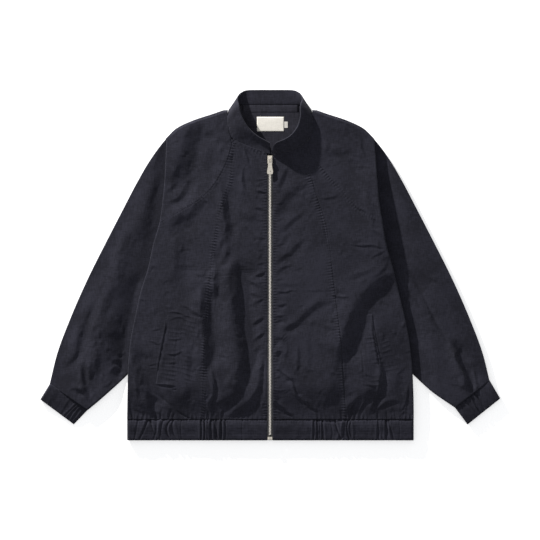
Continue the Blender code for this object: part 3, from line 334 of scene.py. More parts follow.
def fine_path(points):
    """Smooth path through a few points."""
    points = np.asarray(points, float)
    places = np.arange(len(points))
    at = np.linspace(0, len(points) - 1, 6 * (len(points) - 1) + 1)
    if len(points) == 2:
        return points[0] + at[:, None] * (points[1] - points[0])
    return np.stack([hermite(places, points[:, 0], at), hermite(places, points[:, 1], at)], axis=1)


def measure(path, x, y):
    """Distance from a path (positive on its right-hand side), distance along it, its direction."""
    far = np.full(x.shape, 1e9)
    along = np.zeros(x.shape)
    signed = np.zeros(x.shape)
    way = np.zeros(x.shape + (2,))
    done = 0.0
    for (ax, ay), (bx, by) in zip(path[:-1], path[1:]):
        ex, ey = bx - ax, by - ay
        length = math.hypot(ex, ey)
        t = np.clip(((x - ax) * ex + (y - ay) * ey) / length ** 2, 0.0, 1.0)
        px, py = x - ax - t * ex, y - ay - t * ey
        distance = np.hypot(px, py)
        near = distance < far
        far = np.where(near, distance, far)
        along = np.where(near, done + t * length, along)
        signed = np.where(near, np.sign(ex * py - ey * px) * distance, signed)
        way[near] = (ex / length, ey / length)
        done += length
    return signed, along, done, way


def around(path, reach, x, y):
    """Which places are near a path, with what measure says of them; None where there are none."""
    low, high = path.min(axis=0) - reach, path.max(axis=0) + reach
    close = (x > low[0]) & (x < high[0]) & (y > low[1]) & (y < high[1])
    return (close, *measure(path, x[close], y[close])) if close.any() else None


def past_light(d, way):
    """Distance counted the way the light travels, and how squarely the path lies across it."""
    # The right-hand normal of a direction (wx, wy) on the sheet is (-wy, wx).
    facing = -way[:, 1] * LIGHT_PLAN[0] + way[:, 0] * LIGHT_PLAN[1]
    return d * np.where(facing >= 0.0, 1.0, -1.0), np.abs(facing)


def shade_sum(table, x, y):
    total = np.zeros(x.shape)
    for points, near_width, far_width, darkness in table:
        found = around(fine_path(points), 5.0 * max(near_width, far_width), x, y)
        if found is None:
            continue
        close, d, s, length, way = found
        d, facing = past_light(d, way)
        rise = 0.4 * math.tan(LIGHT_RISE) * darkness * (near_width + far_width) * GRID / MM
        strength = np.clip(facing / 0.2, 0.0, 1.0) * np.minimum(1.0 / np.maximum(facing, 0.2), 2.0)
        taper = window(s, 0.0, length, min(0.45 * length, 18.0))
        width = np.where(d < 0.0, near_width, far_width) * (0.55 + 0.45 * taper)
        u = np.abs(d) / width
        wave = np.where(u < 1.0, (5.0 * u - u ** 5) / 4.0, bell(u - 1.0, TAIL))
        total[close] -= rise * taper * strength * np.sign(d) * wave
    return total


def wobbled(x, y, seed):
    """The same places, shifted a little, so that folds wander."""
    return (x + 1.5 * noise(x, y, 15.0, seed) + 0.7 * noise(x, y, 5.5, seed + 1),
            y + 1.5 * noise(x, y, 15.0, seed + 2) + 0.7 * noise(x, y, 5.5, seed + 3))


def groove_sum(table, x, y):
    total = np.zeros(x.shape)
    for points, width, depth in table:
        found = around(fine_path(points), 5 * width, x, y)
        if found is not None:
            close, d, s, length, _ = found
            taper = window(s, 0.0, length, 0.4 * length)
            total[close] -= depth * taper * np.exp(-np.abs(d / width) ** 1.5)
    return total


def pucker(path, x, y, pitch, reach, rise, seed, right=1.0):
    """Small waves along a seam, unlike on its two sides; right weighs the side with more x."""
    total = np.zeros(x.shape)
    found = around(path, 3 * reach, x, y)
    if found is not None:
        close, d, s, _, way = found
        side = np.where(d > 0, 40.0, 0.0)
        weight = np.where(d * way[:, 1] < 0.0, right, 1.0)
        drift = 1.6 * noise(s, side, 9.0, seed) + 0.35 * d * noise(s, side, 16.0, seed + 1)
        phase = 2 * math.pi * s / pitch + drift
        sharp = np.sin(phase) - 0.35 * np.sin(2.0 * phase + 1.2)
        size = 0.25 + 0.75 * smooth(0.5 + 0.9 * noise(s, side + 7.0, 13.0, seed + 2))
        total[close] = rise * weight * size * bell(d, reach) * sharp
    return total


def seam_line(path, x, y, step, band):
    """Lapped seam: a small step down away from the light on a slightly raised stitched band."""
    total = np.zeros(x.shape)
    found = around(path, 8.0, x, y)
    if found is not None:
        close, d, s, _, way = found
        d = past_light(d, way)[0]
        uneven = 0.7 + 0.5 * noise(s, 0 * s, 11.0, 15)
        total[close] = (-step * uneven * (d / 0.8) * np.exp(0.5 - 0.5 * (d / 0.8) ** 2)
                        + band * np.exp(-(d / 2.6) ** 4) * uneven)
    return total


def small_creases(seed, count, box, angle, turn, darkness):
    """Random short creases in a box of the sheet: rows like BODY_SHADES."""
    random = np.random.default_rng(SEED * 77 + seed)
    rows = []
    for _ in range(count):
        cx, cy = random.uniform(box[0], box[2]), random.uniform(box[1], box[3])
        way = math.radians(angle + random.normal(0.0, turn))
        half = random.uniform(2.5, 9.0)
        bend = random.uniform(-0.3, 0.3) * half
        dx, dy = math.cos(way) * half, math.sin(way) * half
        width = random.uniform(0.8, 1.9)
        middle = (cx - 0.1 * dx - bend * dy / half, cy - 0.1 * dy + bend * dx / half)
        rows.append((((cx - dx, cy - dy), middle, (cx + dx, cy + dy)),
                     width, width * 1.2, darkness * random.uniform(0.3, 1.0)))
    return rows


def table_path(table, side, start, end, count):
    downs = np.linspace(start, end, count)
    return np.stack([ZIP_X + side * curve(table, downs, side), downs], axis=1)


PATHS = {}
for _side in SIDES:
    PATHS["princess", _side] = table_path(PRINCESS, _side, 142.0, HEM_SEAM, 28)
    PATHS["raglan", _side] = table_path(FRONT_RAGLAN, _side, 144.0, 221.0, 16)
    PATHS["slit", _side] = table_path(POCKET, _side, 314.0, 384.0, 8)
    _across = np.linspace(2.0, 42.0, 14)
    PATHS["neck", _side] = np.stack([ZIP_X + _side * _across, curve(NECKLINE, _across, _side)], axis=1)
    PATHS["zip", _side] = np.array([(ZIP_X + _side * FRONT_EDGE, down) for down in (150.0, HEM_SEAM)])
PATHS["hem", 0] = np.array([(126.0, HEM_SEAM), (414.0, HEM_SEAM)])


# ---------------------------------------------------------------- heights
def crumple(x, y, seed, soft=0.80):
    """Soft unevenness and fine creasing of worn twill."""
    broad = soft * noise(x, y, 36.0, seed) + 0.12 * noise(x + 0.4 * y, y, 13.0, seed + 1)
    bent_x = x + 3.0 * noise(x, y, 15.0, seed + 4)
    bent_y = y + 3.0 * noise(x, y, 15.0, seed + 5)
    turned, across = 0.8 * bent_x + 0.6 * bent_y, 0.8 * bent_y - 0.6 * bent_x
    crests = 0.15 * (1.0 - np.abs(noise(turned, 0.55 * across, 17.0, seed + 6))) ** 4
    crests = crests + 0.10 * (1.0 - np.abs(noise(bent_x * 0.7, bent_y, 7.5, seed + 7))) ** 3
    fine = 0.060 * noise(turned, across, 4.5, seed + 2) + 0.030 * noise(x, y, 2.4, seed + 3)
    return broad + crests + fine


def scattered(*boxes):
    return [row for box in boxes for row in small_creases(*box)]

# Each row: seed, count, box (x, y, x, y), direction and its spread in degrees, darkness.
CREASES = scattered(
    (1, 46, (130, 150, 205, 300), 20.0, 50.0, 0.45), (2, 46, (335, 150, 410, 300), 155.0, 45.0, 0.45),
    (3, 60, (130, 300, 264, 416), 60.0, 40.0, 0.6), (4, 60, (276, 300, 412, 416), 115.0, 40.0, 0.6),
    (5, 30, (205, 155, 264, 300), 80.0, 40.0, 0.45), (6, 34, (276, 155, 335, 300), 140.0, 40.0, 0.45),
    (7, 26, (172, 118, 232, 170), 110.0, 30.0, 0.45), (8, 26, (308, 118, 372, 170), 70.0, 30.0, 0.45))
ARM_CREASES = scattered(
    (11, 70, (50, 170, 160, 410), 112.0, 35.0, 0.5), (12, 70, (380, 170, 495, 405), 68.0, 35.0, 0.5),
    (13, 34, (58, 325, 128, 402), 95.0, 40.0, 0.9))
POCKET_RISE = {LEFT: 0.42, RIGHT: 0.3}
FRONT_SEAM = {  # long front seam: reach and rise of its puckers, their weight on its right, its step
    LEFT: (3.0, 0.46, 1.0, 0.05), RIGHT: (4.6, 0.34, 0.3, 0.16),
}


def pocket_puckers(x, y, side):
    path = PATHS["slit", side]
    near = window(y, 308.0, 392.0, 10.0)
    patchy = smooth(0.45 + 1.3 * noise(x, y, 9.0, 47 + side))
    return near * patchy * pucker(path, x, y, 4.3, 13.0, POCKET_RISE[side], 41 + side)


def body_relief(x, y):
    x, y = grid_of(x, y)
    gathers = [(((gx, gy), (0.5 * (gx + hx), 0.5 * (gy + HEM_SEAM)), (hx, HEM_SEAM + 4.0)), w, depth)
               for gx, gy, hx, w, depth in HEM_GATHERS]
    creases = [(((zx, zy), (0.5 * (zx + fx), 0.5 * (zy + fy)), (fx, fy)), w, w, 2.0 * rise)
               for zx, zy, fx, fy, w, rise in ZIP_CREASES]
    total = (shade_sum(BODY_SHADES + CREASES + creases, *wobbled(x, y, 100))
             + shade_sum(SEWN_SHADES, x, y) + groove_sum(BODY_GROOVES + gathers, x, y)
             + crumple(x, y, 1))
    for side in SIDES:
        reach, rise, right, step = FRONT_SEAM[side]
        total += pucker(PATHS["princess", side], x, y, 2.8, reach, rise, 11 + side, right)
        total += seam_line(PATHS["princess", side], x, y, step, 0.20)
        total += pucker(PATHS["raglan", side], x, y, 2.9, 3.2, 0.34, 21 + side)
        total += seam_line(PATHS["raglan", side], x, y, 0.03, 0.22)
        total += pucker(PATHS["zip", side], x, y, 2.8, 3.6, 0.34, 31 + side)
        total += pucker(PATHS["neck", side], x, y, 3.4, 3.5, 0.22, 51 + side)
        total += pocket_puckers(x, y, side)
    total += pucker(PATHS["hem", 0], x, y, 4.6, 5.0, 0.50, 61)
    return total - 0.3 * bell(y - HEM_SEAM, 1.3)


def front_base(across, down, side):
    """Outer face of the front without its folds."""
    edge = curve(BODY_EDGE, np.clip(down, FOLD_START, HEM_END), side)
    top = BODY_TOP - curve(EDGE_DROP, down, side) * smooth(1.0 - (edge - across) / 55.0)
    return HEM_TOP + (top - HEM_TOP) * smooth((HEM_SEAM - down) / 36.0)


def front_height(across, down, side, plain=False):
    across, down = grid_of(across, down)
    top = front_base(across, down, side)
    if not plain:
        relief = body_relief(ZIP_X + side * across, down)
        relief = np.maximum(relief, -0.6 - 3.5 * smooth((across - 4.0) / 6.0))
        top = top + relief * smooth((across - 1.0) / 4.0) * smooth((HEM_SEAM + 3.0 - down) / 5.0)
    below = (down - outline_row(across)) * 0.9 / 3.0
    shoulder = np.sqrt(1.0 - (1.0 - np.clip(below, 0.0, 1.0)) ** 2)
    over = np.where(down < FOLD_START + 4.0, shoulder, 1.0)
    return SHOULDER_MID + (top - SHOULDER_MID) * over


ARM_SLOPE = {LEFT: 30.0, RIGHT: 16.0}   # squares over which a sleeve rises from its outer edge


def arm_rim(down):
    """Height of the sleeve along its outer edge."""
    return np.minimum(ARM_EDGE, 5.2 + 1.8 * smooth((down - FOLD_START) / 30.0))


def arm_height(across, down, side):
    across, down = grid_of(across, down)
    edge = curve(BODY_EDGE, down, side)
    low = ARM_UNDER + (ARM_EDGE - ARM_UNDER) * smooth((down - 382.0) / 14.0)
    crest = low + (ARM_TOP - low) * smooth((across - edge - 1.0) / 26.0)
    x = ZIP_X + side * across
    relief = (shade_sum(ARM_SHADES + ARM_CREASES, *wobbled(x, down, 105))
              + groove_sum(ARM_GROOVES, x, down) + crumple(x, down, 15, 0.5))
    crest = crest + relief * smooth((across - edge + 1.0) / 8.0)
    outer = smooth((curve(OUTLINE, down) - across) / ARM_SLOPE[side])
    start = arm_rim(down)
    return np.where(crest > start, start + (crest - start) * outer, crest)


def back_lift(across, down):
    """How far the back panel is off the floor."""
    start = curve(UNDERARM, np.clip(down, FOLD_END, 376.0)) - 15.0
    rise = smooth((across - start) / 12.0)
    return BODY_LIFT * rise * smooth((down - 194.0) / 20.0) * smooth((385.0 - down) / 6.0)


def place(across, down, height, side):
    across, down, height = np.broadcast_arrays(across, down, height)
    return np.stack([side * across * GRID, (MID_DOWN - down) * GRID, height * MM], axis=-1)


# ---------------------------------------------------------------- mesh builders
def cells(points, step=1):
    """Every cell of a grid of points, counted in steps."""
    return np.ones(((points.shape[0] - 1) // step, (points.shape[1] - 1) // step), bool)


def mesh_object(name, verts, faces, material, smooth_faces=True):
    mesh = bpy.data.meshes.new("made_" + name)
    mesh.from_pydata([tuple(v) for v in verts], [], faces)
    mesh.validate()
    if smooth_faces:
        mesh.polygons.foreach_set("use_smooth", [True] * len(mesh.polygons))
    mesh.update()
    thing = bpy.data.objects.new("made_" + name, mesh)
    thing.data.materials.append(material)
    bpy.context.scene.collection.objects.link(thing)
    return thing


FIRST, LAST = slice(None, -1), slice(1, None)
CORNERS = ((FIRST, FIRST), (LAST, FIRST), (LAST, LAST), (FIRST, LAST))     # of every cell of a grid


def shell(name, outer, wall, material, keep=None, flip=False, ring=False, step=3, inner=None):
    """Closed thin shell: a fine outer face, an inner face with every third point, and a rim.

    keep says which cells of the coarse grid are cloth.
    """
    outer = np.asarray(outer, float)
    if ring:
        outer = np.concatenate([outer, outer[:, :1]], axis=1)
    rows, cols = outer.shape[:2]
    assert (rows - 1) % step == 0 and (cols - 1) % step == 0, (name, rows, cols)
    if keep is None:
        keep = cells(outer, step)
    fine = np.kron(keep, np.ones((step, step), bool))
    a, b, c, d = [outer[corner] for corner in CORNERS]
    normal = np.cross(c - a, d - b) * fine[..., None]
    total = np.zeros(outer.shape)
    for corner in CORNERS:
        total[corner] += normal
    if ring:
        total[:, 0] += total[:, -1]
        total[:, -1] = total[:, 0]
    total /= np.maximum(np.linalg.norm(total, axis=2, keepdims=True), 1e-12)
    sign = -1.0 if flip else 1.0
    if inner is None:
        inner = (outer - sign * total * wall * MM)[::step, ::step]

    def number(used, first):
        index = np.full(used.shape, -1)
        index[used] = first + np.arange(used.sum())
        if ring:
            index[:, -1] = index[:, 0]
        return index

    def touched(cloth_cells):
        used = np.zeros((cloth_cells.shape[0] + 1, cloth_cells.shape[1] + 1), bool)
        for corner in CORNERS:
            used[corner] |= cloth_cells
        if ring:
            used[:, -1] = False
        return used

    used_fine, used_coarse = touched(fine), touched(keep)
    top = number(used_fine, 0)
    low = number(used_coarse, used_fine.sum())
    verts = np.concatenate([outer[used_fine], inner[used_coarse]])
    faces = np.stack([top[corner] for corner in CORNERS], axis=-1)[fine].tolist()
    faces += np.stack([low[CORNERS[k]] for k in (0, 3, 2, 1)], axis=-1)[keep].tolist()
    rim_start = len(faces)
    kept = np.pad(keep, 1)       # no cloth beyond the grid
    for i, j in np.argwhere(keep):
        cell = top[i * step:(i + 1) * step + 1, j * step:(j + 1) * step + 1]
        a, b, c, d = [low[i:i + 2, j:j + 2][k] for k in ((0, 0), (1, 0), (1, 1), (0, 1))]
        for cloth_beyond, edge, ends in (
                (kept[i, j + 1], cell[0], (d, a)), (kept[i + 2, j + 1], cell[-1, ::-1], (b, c)),
                (ring or kept[i + 1, j], cell[::-1, 0], (a, b)),
                (ring or kept[i + 1, j + 2], cell[:, -1], (c, d))):
            if not cloth_beyond:
                faces.append([int(v) for v in (*edge, *ends)])
    if flip:
        faces = [face[::-1] for face in faces]
    made = mesh_object(name, verts, faces, material)
    for face in made.data.polygons[rim_start:]:
        face.use_smooth = False
    return made


def arc(start, end, count, skip_first=False):
    turns = np.radians(np.linspace(start, end, count))
    return turns[1:] if skip_first else turns


def named(stem, side):
    return stem + ("_left" if side == LEFT else "_right")


# ---------------------------------------------------------------- materials
def nodes_of(name):
    made = bpy.data.materials.new(name)
    made.use_nodes = True
    tree = made.node_tree
    return made, tree, tree.nodes["Principled BSDF"]


def wire(tree, node, inputs):
    """Links or sets a node's inputs."""
    for key, value in inputs.items():
        if isinstance(value, bpy.types.NodeSocket):
            tree.links.new(value, node.inputs[key])
        else:
            node.inputs[key].default_value = value
    return node


def add(tree, kind, inputs=None, **settings):
    node = tree.nodes.new(kind)
    for key, value in settings.items():
        setattr(node, key, value)
    return wire(tree, node, inputs or {})


def ramp(tree, value, stops):
    node = add(tree, "ShaderNodeValToRGB", {"Fac": value})
    for element, (position, colour) in zip(node.color_ramp.elements, stops):
        element.position, element.color = position, (*colour, 1.0)
    return node.outputs["Color"]


def speckle(tree, spot, scale, detail=2.0, **more):
    node = add(tree, "ShaderNodeTexNoise", {"Vector": spot, "Scale": scale, "Detail": detail, **more})
    return node.outputs["Fac"]


def mix(tree, share, a, b):
    return add(tree, "ShaderNodeMix", {0: share, 2: a, 3: b}, data_type="FLOAT").outputs[0]


def bumps(tree, strength, depth, height):
    node = add(tree, "ShaderNodeBump", {"Strength": strength, "Distance": depth * MM, "Height": height})
    return node.outputs["Normal"]


def cloth(name, colour, weave=1100.0, weave_depth=0.12, sheen=0.04, tint=0.28):
    """Cotton twill: diagonal ribs, slubs, soft colour changes, a dusty sheen."""
    made, tree, shader = nodes_of(name)
    spot = add(tree, "ShaderNodeTexCoord").outputs["Object"]
    broad = speckle(tree, spot, 16.0, 6.0, Roughness=0.6)
    slubs = []
    for stretch_x, stretch_y in ((90.0, 620.0), (620.0, 90.0)):
        along = add(tree, "ShaderNodeMapping", {"Vector": spot, "Scale": (stretch_x, stretch_y, 200.0)})
        slubs.append(speckle(tree, along.outputs["Vector"], 1.0))
    mixed = mix(tree, 0.6, broad, mix(tree, 0.5, *slubs))
    dark = tuple(v * (1.0 - tint) for v in colour)
    light = tuple(v * (1.0 + tint) for v in colour)
    tone = ramp(tree, mixed, ((0.43, dark), (0.57, light)))
    ribs = add(tree, "ShaderNodeTexWave", {"Vector": spot, "Scale": weave / 6.2, "Distortion": 0.6,
                                           "Detail": 1.0, "Detail Scale": 2.0},
               wave_type="BANDS", bands_direction="DIAGONAL")
    height = mix(tree, 0.5, ribs.outputs["Fac"], speckle(tree, spot, 900.0))
    wire(tree, shader, {"Base Color": tone, "Normal": bumps(tree, 0.35, weave_depth, height),
                        "Roughness": 0.88, "Specular IOR Level": 0.10,
                        "Sheen Weight": sheen, "Sheen Roughness": 0.5})
    return made


def metal(name, colour, roughness=0.32):
    """Warm satin metal with fine brushing and duller patches."""
    made, tree, shader = nodes_of(name)
    spot = add(tree, "ShaderNodeTexCoord").outputs["Object"]
    patch = speckle(tree, spot, 300.0, 4.0)
    dark = tuple(v * 0.82 for v in colour)
    tone = ramp(tree, patch, ((0.3, dark), (0.7, colour)))
    rough = add(tree, "ShaderNodeMapRange", {"Value": patch, "From Min": 0.2, "From Max": 0.8,
                                             "To Min": roughness - 0.08, "To Max": roughness + 0.12})
    wire(tree, shader, {"Base Color": tone, "Roughness": rough.outputs["Result"], "Metallic": 0.75,
                        "Normal": bumps(tree, 0.12, 0.05, speckle(tree, spot, 2500.0))})
    return made


TWILL = cloth("navy_twill", (0.0160, 0.0160, 0.0235))
# The inner faces use a lighter copy of the outer twill: painted light that brightens the inside seen through
# the neck.
INSIDE_TWILL_PAINTED_LIGHT = cloth("navy_twill_inside_painted_light", (0.0225, 0.0222, 0.0305))
# The zip tape's grey is partly its own colour, partly painted light lifted so the shaded gaps between the
# teeth read lighter.
TAPE = cloth("zip_tape_weave", (0.085, 0.085, 0.090), weave=2600.0, sheen=0.1)
LABEL = cloth("label_weave", (0.74, 0.71, 0.65), weave=2200.0, weave_depth=0.06, sheen=0.1, tint=0.05)
SIZE = cloth("size_tab_weave", (0.60, 0.58, 0.54), weave=2200.0, weave_depth=0.06, sheen=0.1, tint=0.05)
THREAD = cloth("thread", (0.026, 0.026, 0.034), weave=5000.0, weave_depth=0.04, sheen=0.1, tint=0.05)
METAL = metal("champagne_metal", (0.82, 0.765, 0.67))
TEETH = metal("champagne_teeth", (0.88, 0.83, 0.76), roughness=0.38)


# ---------------------------------------------------------------- front panels
def spread(count, gather):
    """Shares from 0 to 1, closer together at both ends when gather is above 0."""
    t = np.linspace(0.0, 1.0, count)
    return t - gather * np.sin(2 * math.pi * t) / (2 * math.pi)


def seam_gap(down, side):
    """Half the gap of the long front seam: a thin open line on the right, closed at the hem."""
    return CLOSED if side == LEFT else CLOSED + (SEAM - CLOSED) * smooth((412.0 - down) / 6.0)


def front_centre(side):
    r = np.linspace(0.0, 1.0, FRONT_ROWS)[:, None]
    s = spread(3 * 32 + 1, 0.4)
    last = HEM_SEAM - SEAM
    across = FRONT_EDGE + s * (curve(PRINCESS, 140.0 + r * (last - 140.0), side) - FRONT_EDGE)
    for _ in range(3):
        first = curve(NECKLINE, across, side) - UNDER_COLLAR * smooth((across - FRONT_EDGE) / 3.0)
        down = first + r * (last - first)
        across = FRONT_EDGE + s * (curve(PRINCESS, down, side) - seam_gap(down, side) - FRONT_EDGE)
    height = front_height(across, down, side)
    return shell(named("front_centre", side), place(across, down, height, side), WALL, TWILL,
                 flip=side == LEFT)


ROLL_TURNS = arc(0.0, 90.0, 7, skip_first=True)


def boxy(value):
    """Rounds a quarter circle's sine or cosine out to a fuller corner."""
    return np.sign(value) * np.abs(value) ** 0.35


def front_side(side):
    cols = 3 * 38 + 1
    start = float(curve(NECKLINE, SIDE_NECK, side)) - UNDER_COLLAR
    downs = np.linspace(start, HEM_SEAM - SEAM, FRONT_ROWS)[:, None]
    # Just above the armpit the outer edge passes from the raglan seam to the side fold.
    blend = smooth((downs - 218.6) / 2.6)
    raglan = raglan_edge(np.minimum(downs, RAGLAN_END), side, -1)
    outer = raglan + blend * (curve(BODY_EDGE, downs, side) - ROLL - raglan)
    s = spread(cols, 0.3)
    fade = np.maximum(0.0, 1.0 - (downs - start) / 34.0)
    inner = curve(PRINCESS, downs, side) + seam_gap(downs, side)
    for _ in range(3):
        across = inner + s * (outer - inner)
        down = downs + fade * (curve(NECKLINE, across, side) - curve(NECKLINE, outer, side))
        inner = curve(PRINCESS, down[:, :1], side) + seam_gap(down[:, :1], side)
    height = front_height(across, down, side)
    low = back_lift(outer, downs)
    mid = 0.5 * (low + front_base(outer, downs, side)) + EDGE_GAP
    rim = place(outer + ROLL * boxy(np.sin(ROLL_TURNS)), downs,
                mid + (height[:, -1:] - mid) * boxy(np.cos(ROLL_TURNS)), side)
    points = np.concatenate([place(across, down, height, side), rim], axis=1)
    keep = cells(points, 3)
    first_side = int(np.searchsorted(downs[:, 0], FOLD_END) // 3)
    keep[:first_side - 1, (cols - 1) // 3:] = False
    return shell(named("front_side", side), points, WALL, TWILL, keep=keep, flip=side == LEFT)


# ---------------------------------------------------------------- sleeves
def row_down(across, outer_down, inner_down, side):
    """Sheet row of a place on a row that slants over the arm."""
    outer, inner = curve(OUTLINE, outer_down), curve(UNDERARM, inner_down, side)
    return outer_down + (outer - across) / (outer - inner) * (inner_down - outer_down)


def arm_pairs(side, count, first):
    """Rows of the arm: where each meets its outer edge and its inner edge."""
    outer_end, inner_end = SLEEVE_END[side]
    outer = np.linspace(first, outer_end - SEAM, count)[:, None]
    skew = (inner_end - outer_end) * smooth((outer - FOLD_END) / (outer_end - FOLD_END))
    return outer, outer + skew


def sleeve_front(side):
    shoulder_rows, arm_rows = 3 * 50 + 1, 3 * 66
    downs = np.linspace(SHOULDER_FIRST, SHOULDER_LAST, shoulder_rows)[:, None]
    step = downs[1, 0] - downs[0, 0]
    first_fold = 3 * int(math.ceil((FOLD_START + 0.5 - SHOULDER_FIRST) / step / 3))
    crown = arc(90.0, 0.0, 7)
    arm_cols, under_cols, fold_turns, shoulder_cols = 3 * 30, 2, arc(-90.0, 90.0, 13), 3 * 22

    def arm_part(outer_down, inner_down, inner):
        outline = curve(OUTLINE, outer_down)
        radius = ROLL * stretch(OUTLINE, outer_down)
        top = arm_height(outline - radius, outer_down, side)
        mid = 0.5 * arm_rim(outer_down) + EDGE_GAP
        edge_across = outline - radius + radius * boxy(np.sin(crown))
        edge_height = mid + (top - mid) * boxy(np.cos(crown))
        share = np.linspace(0.0, 1.0, arm_cols + 1)[1:]
        across = edge_across[:, -1:] + share * (inner - edge_across[:, -1:])
        down = row_down(across, outer_down, inner_down, side)
        return np.concatenate([
            place(edge_across, row_down(edge_across, outer_down, inner_down, side), edge_height, side),
            place(across, down, arm_height(across, down, side), side)], axis=1)

    # Shoulder and the part of the arm it lies on.
    on_arm = downs >= FOLD_START
    edge = np.where(on_arm, curve(BODY_EDGE, np.maximum(downs, FOLD_START), side), curve(OUTLINE, downs))
    tuck = TUCK * (0.5 + 0.5 * smooth((downs - FOLD_START) / 20.0)
                   - 0.3 * smooth((downs - 205.0) / 15.0))
    level = ARM_UNDER + WALL + 1.0
    inner = raglan_edge(downs, side, 1) - 0.9 * smooth((141.0 - downs) / 3.0)
    radius = np.minimum(ROLL * np.where(on_arm, 1.0, stretch(OUTLINE, downs)), 0.45 * (edge - inner))
    top = front_height(edge - radius, downs, side)
    bottom = np.where(on_arm, level, 2.0 * (SHOULDER_MID + EDGE_GAP) - top)
    fold_across = edge - radius + radius * boxy(np.cos(fold_turns))
    fold_height = 0.5 * (bottom + top) + 0.5 * (top - bottom) * boxy(np.sin(fold_turns))
    share = np.linspace(0.0, 1.0, shoulder_cols + 1)[1:]
    flat = edge - radius + share * (inner - edge + radius)
    shoulder = np.concatenate([place(fold_across, downs, fold_height, side),
                               place(flat, downs, front_height(flat, downs, side), side)], axis=1)
    fold_downs = np.maximum(downs, FOLD_START)
    arm = arm_part(fold_downs, fold_downs, edge - tuck)
    back = edge - tuck + np.linspace(0.0, 1.0, under_cols) * (tuck - ROLL - 0.6)
    lift = np.full(back.shape, level)
    back[:, 0] -= 0.5
    lift[:, 0] = 0.5 * (ARM_UNDER + level)
    upper = np.concatenate([arm, place(back, downs, lift, side), shoulder], axis=1)

    # The arm below the armpit.
    outer_down, inner_down = arm_pairs(side, arm_rows, FOLD_END + 1.0)
    under_inner = curve(UNDERARM, inner_down, side) + ROLL
    arm = arm_part(outer_down, inner_down, under_inner)
    top = arm[:, -1:, 2] / MM
    mid = 0.5 * top + EDGE_GAP
    under = under_inner - ROLL * np.sin(ROLL_TURNS)
    rim = place(under, row_down(under, outer_down, inner_down, side),
                mid + (top - mid) * np.cos(ROLL_TURNS), side)
    lower = np.zeros((arm_rows,) + upper.shape[1:])
    lower[:, :arm.shape[1]] = arm
    lower[:, arm.shape[1]:arm.shape[1] + rim.shape[1]] = rim
    points = np.concatenate([upper, lower])
    keep = cells(points, 3)
    fold_at = (len(crown) + arm_cols + under_cols) // 3
    arm_end = (len(crown) + arm_cols - 1) // 3
    first_arm = (shoulder_rows - 1) // 3
    keep[:first_fold // 3, :fold_at + 2] = False
    keep[first_arm:, arm_end:] = False
    keep[first_arm + 1:, arm_end:arm_end + 2] = True
    return shell(named("sleeve_front", side), points, WALL, TWILL, keep=keep, flip=side == RIGHT)


def sleeve_back(side):
    curl = arc(90.0, 0.0, 4)
    inner_curl = arc(0.0, 90.0, 4, skip_first=True)
    shoulder = np.linspace(113.0, 221.0, 37)[:, None]
    outer_down, inner_down = arm_pairs(side, 57, FOLD_END + 2.0)
    outer_down = np.concatenate([shoulder, outer_down])
    inner_down = np.concatenate([shoulder, inner_down])
    count = len(shoulder)
    on_body = np.arange(len(outer_down))[:, None] < count
    radius = ROLL * stretch(OUTLINE, outer_down)
    edge = curve(OUTLINE, outer_down)
    meet = np.where(outer_down < FOLD_START, SHOULDER_MID, 0.5 * arm_rim(outer_down)) - EDGE_GAP
    outer = edge - radius + radius * np.sin(curl)
    inner = np.where(on_body, curve(BACK_RAGLAN, inner_down) + SEAM,
                     curve(UNDERARM, inner_down, side) + ROLL)
    arm_side = 0.45 * (ARM_UNDER + 2.6 * smooth((inner_down - 382.0) / 14.0)) - EDGE_GAP
    last = np.where(on_body, 0.0, arm_side)
    middle = edge - radius + np.linspace(0.0, 1.0, 19)[1:] * (inner - edge + radius)
    inside = inner - ROLL * np.sin(inner_curl)
    across = np.concatenate([outer, middle, inside], axis=1)
    height = np.concatenate([meet * (1.0 - np.cos(curl)), 0.0 * middle,
                             last * (1.0 - np.cos(inner_curl))], axis=1)
    points = place(across, row_down(across, outer_down, inner_down, side), height, side)
    keep = cells(points)
    keep[:count, -len(inner_curl):] = False
    return shell(named("sleeve_back", side), points, WALL, TWILL, keep=keep, flip=side == LEFT, step=1)


def back_inside(x, y):
    """Height of the back's inner face where it is seen through the neck."""
    return (WALL + 0.45 * smooth((118.0 - y) / 11.0)
            + np.maximum(0.0, 0.5 * noise(x, y, 12.0, 90) * smooth((y - 112.0) / 8.0)))


def back_panel():
    curl = arc(0.0, 90.0, 4, skip_first=True)
    downs = np.linspace(104.7, HEM_SEAM - SEAM, 106)[:, None]
    side_start = FOLD_END - 1.0
    first_side = int(np.sum(downs < side_start))
    shares = np.linspace(0.0, 1.0, 31)
    halves = []
    for side in SIDES:
        outer = np.where(downs < side_start, curve(BACK_RAGLAN, downs) - SEAM,
                         curve(BODY_EDGE, np.maximum(downs, FOLD_START), side) - ROLL)
        low = back_lift(outer, downs)
        meet = 0.5 * (low + front_base(outer, downs, side)) - EDGE_GAP
        across = shares * outer
        main = place(across, downs, back_lift(across, downs), side)
        edge = place(outer + ROLL * np.sin(curl), downs,
                     low + (meet - low) * (1.0 - np.cos(curl)), side)
        halves.append(np.concatenate([main, edge], axis=1))
    points = np.concatenate([halves[0][:, ::-1], halves[1][:, 1:]], axis=1)
    keep = cells(points)
    keep[:first_side, :len(curl)] = False
    keep[:first_side, -len(curl):] = False
    x, y = points[..., 0] / GRID + ZIP_X, MID_DOWN - points[..., 1] / GRID
    inner = points.copy()
    inner[..., 2] += back_inside(x, y) * MM
    for part in (slice(0, len(curl)), slice(points.shape[1] - len(curl), None)):
        inner[:, part] = points[:, part]
        inner[:, part, 0] -= np.sign(points[:, part, 0]) * WALL * MM
    made = shell("back_panel", points, WALL, TWILL, keep=keep, flip=True, step=1, inner=inner)
    # the inner faces take the lighter copy of the twill: painted light
    made.data.materials.append(INSIDE_TWILL_PAINTED_LIGHT)
    count = int(keep.sum())
    for face in made.data.polygons[count:2 * count]:
        face.material_index = 1
    return made


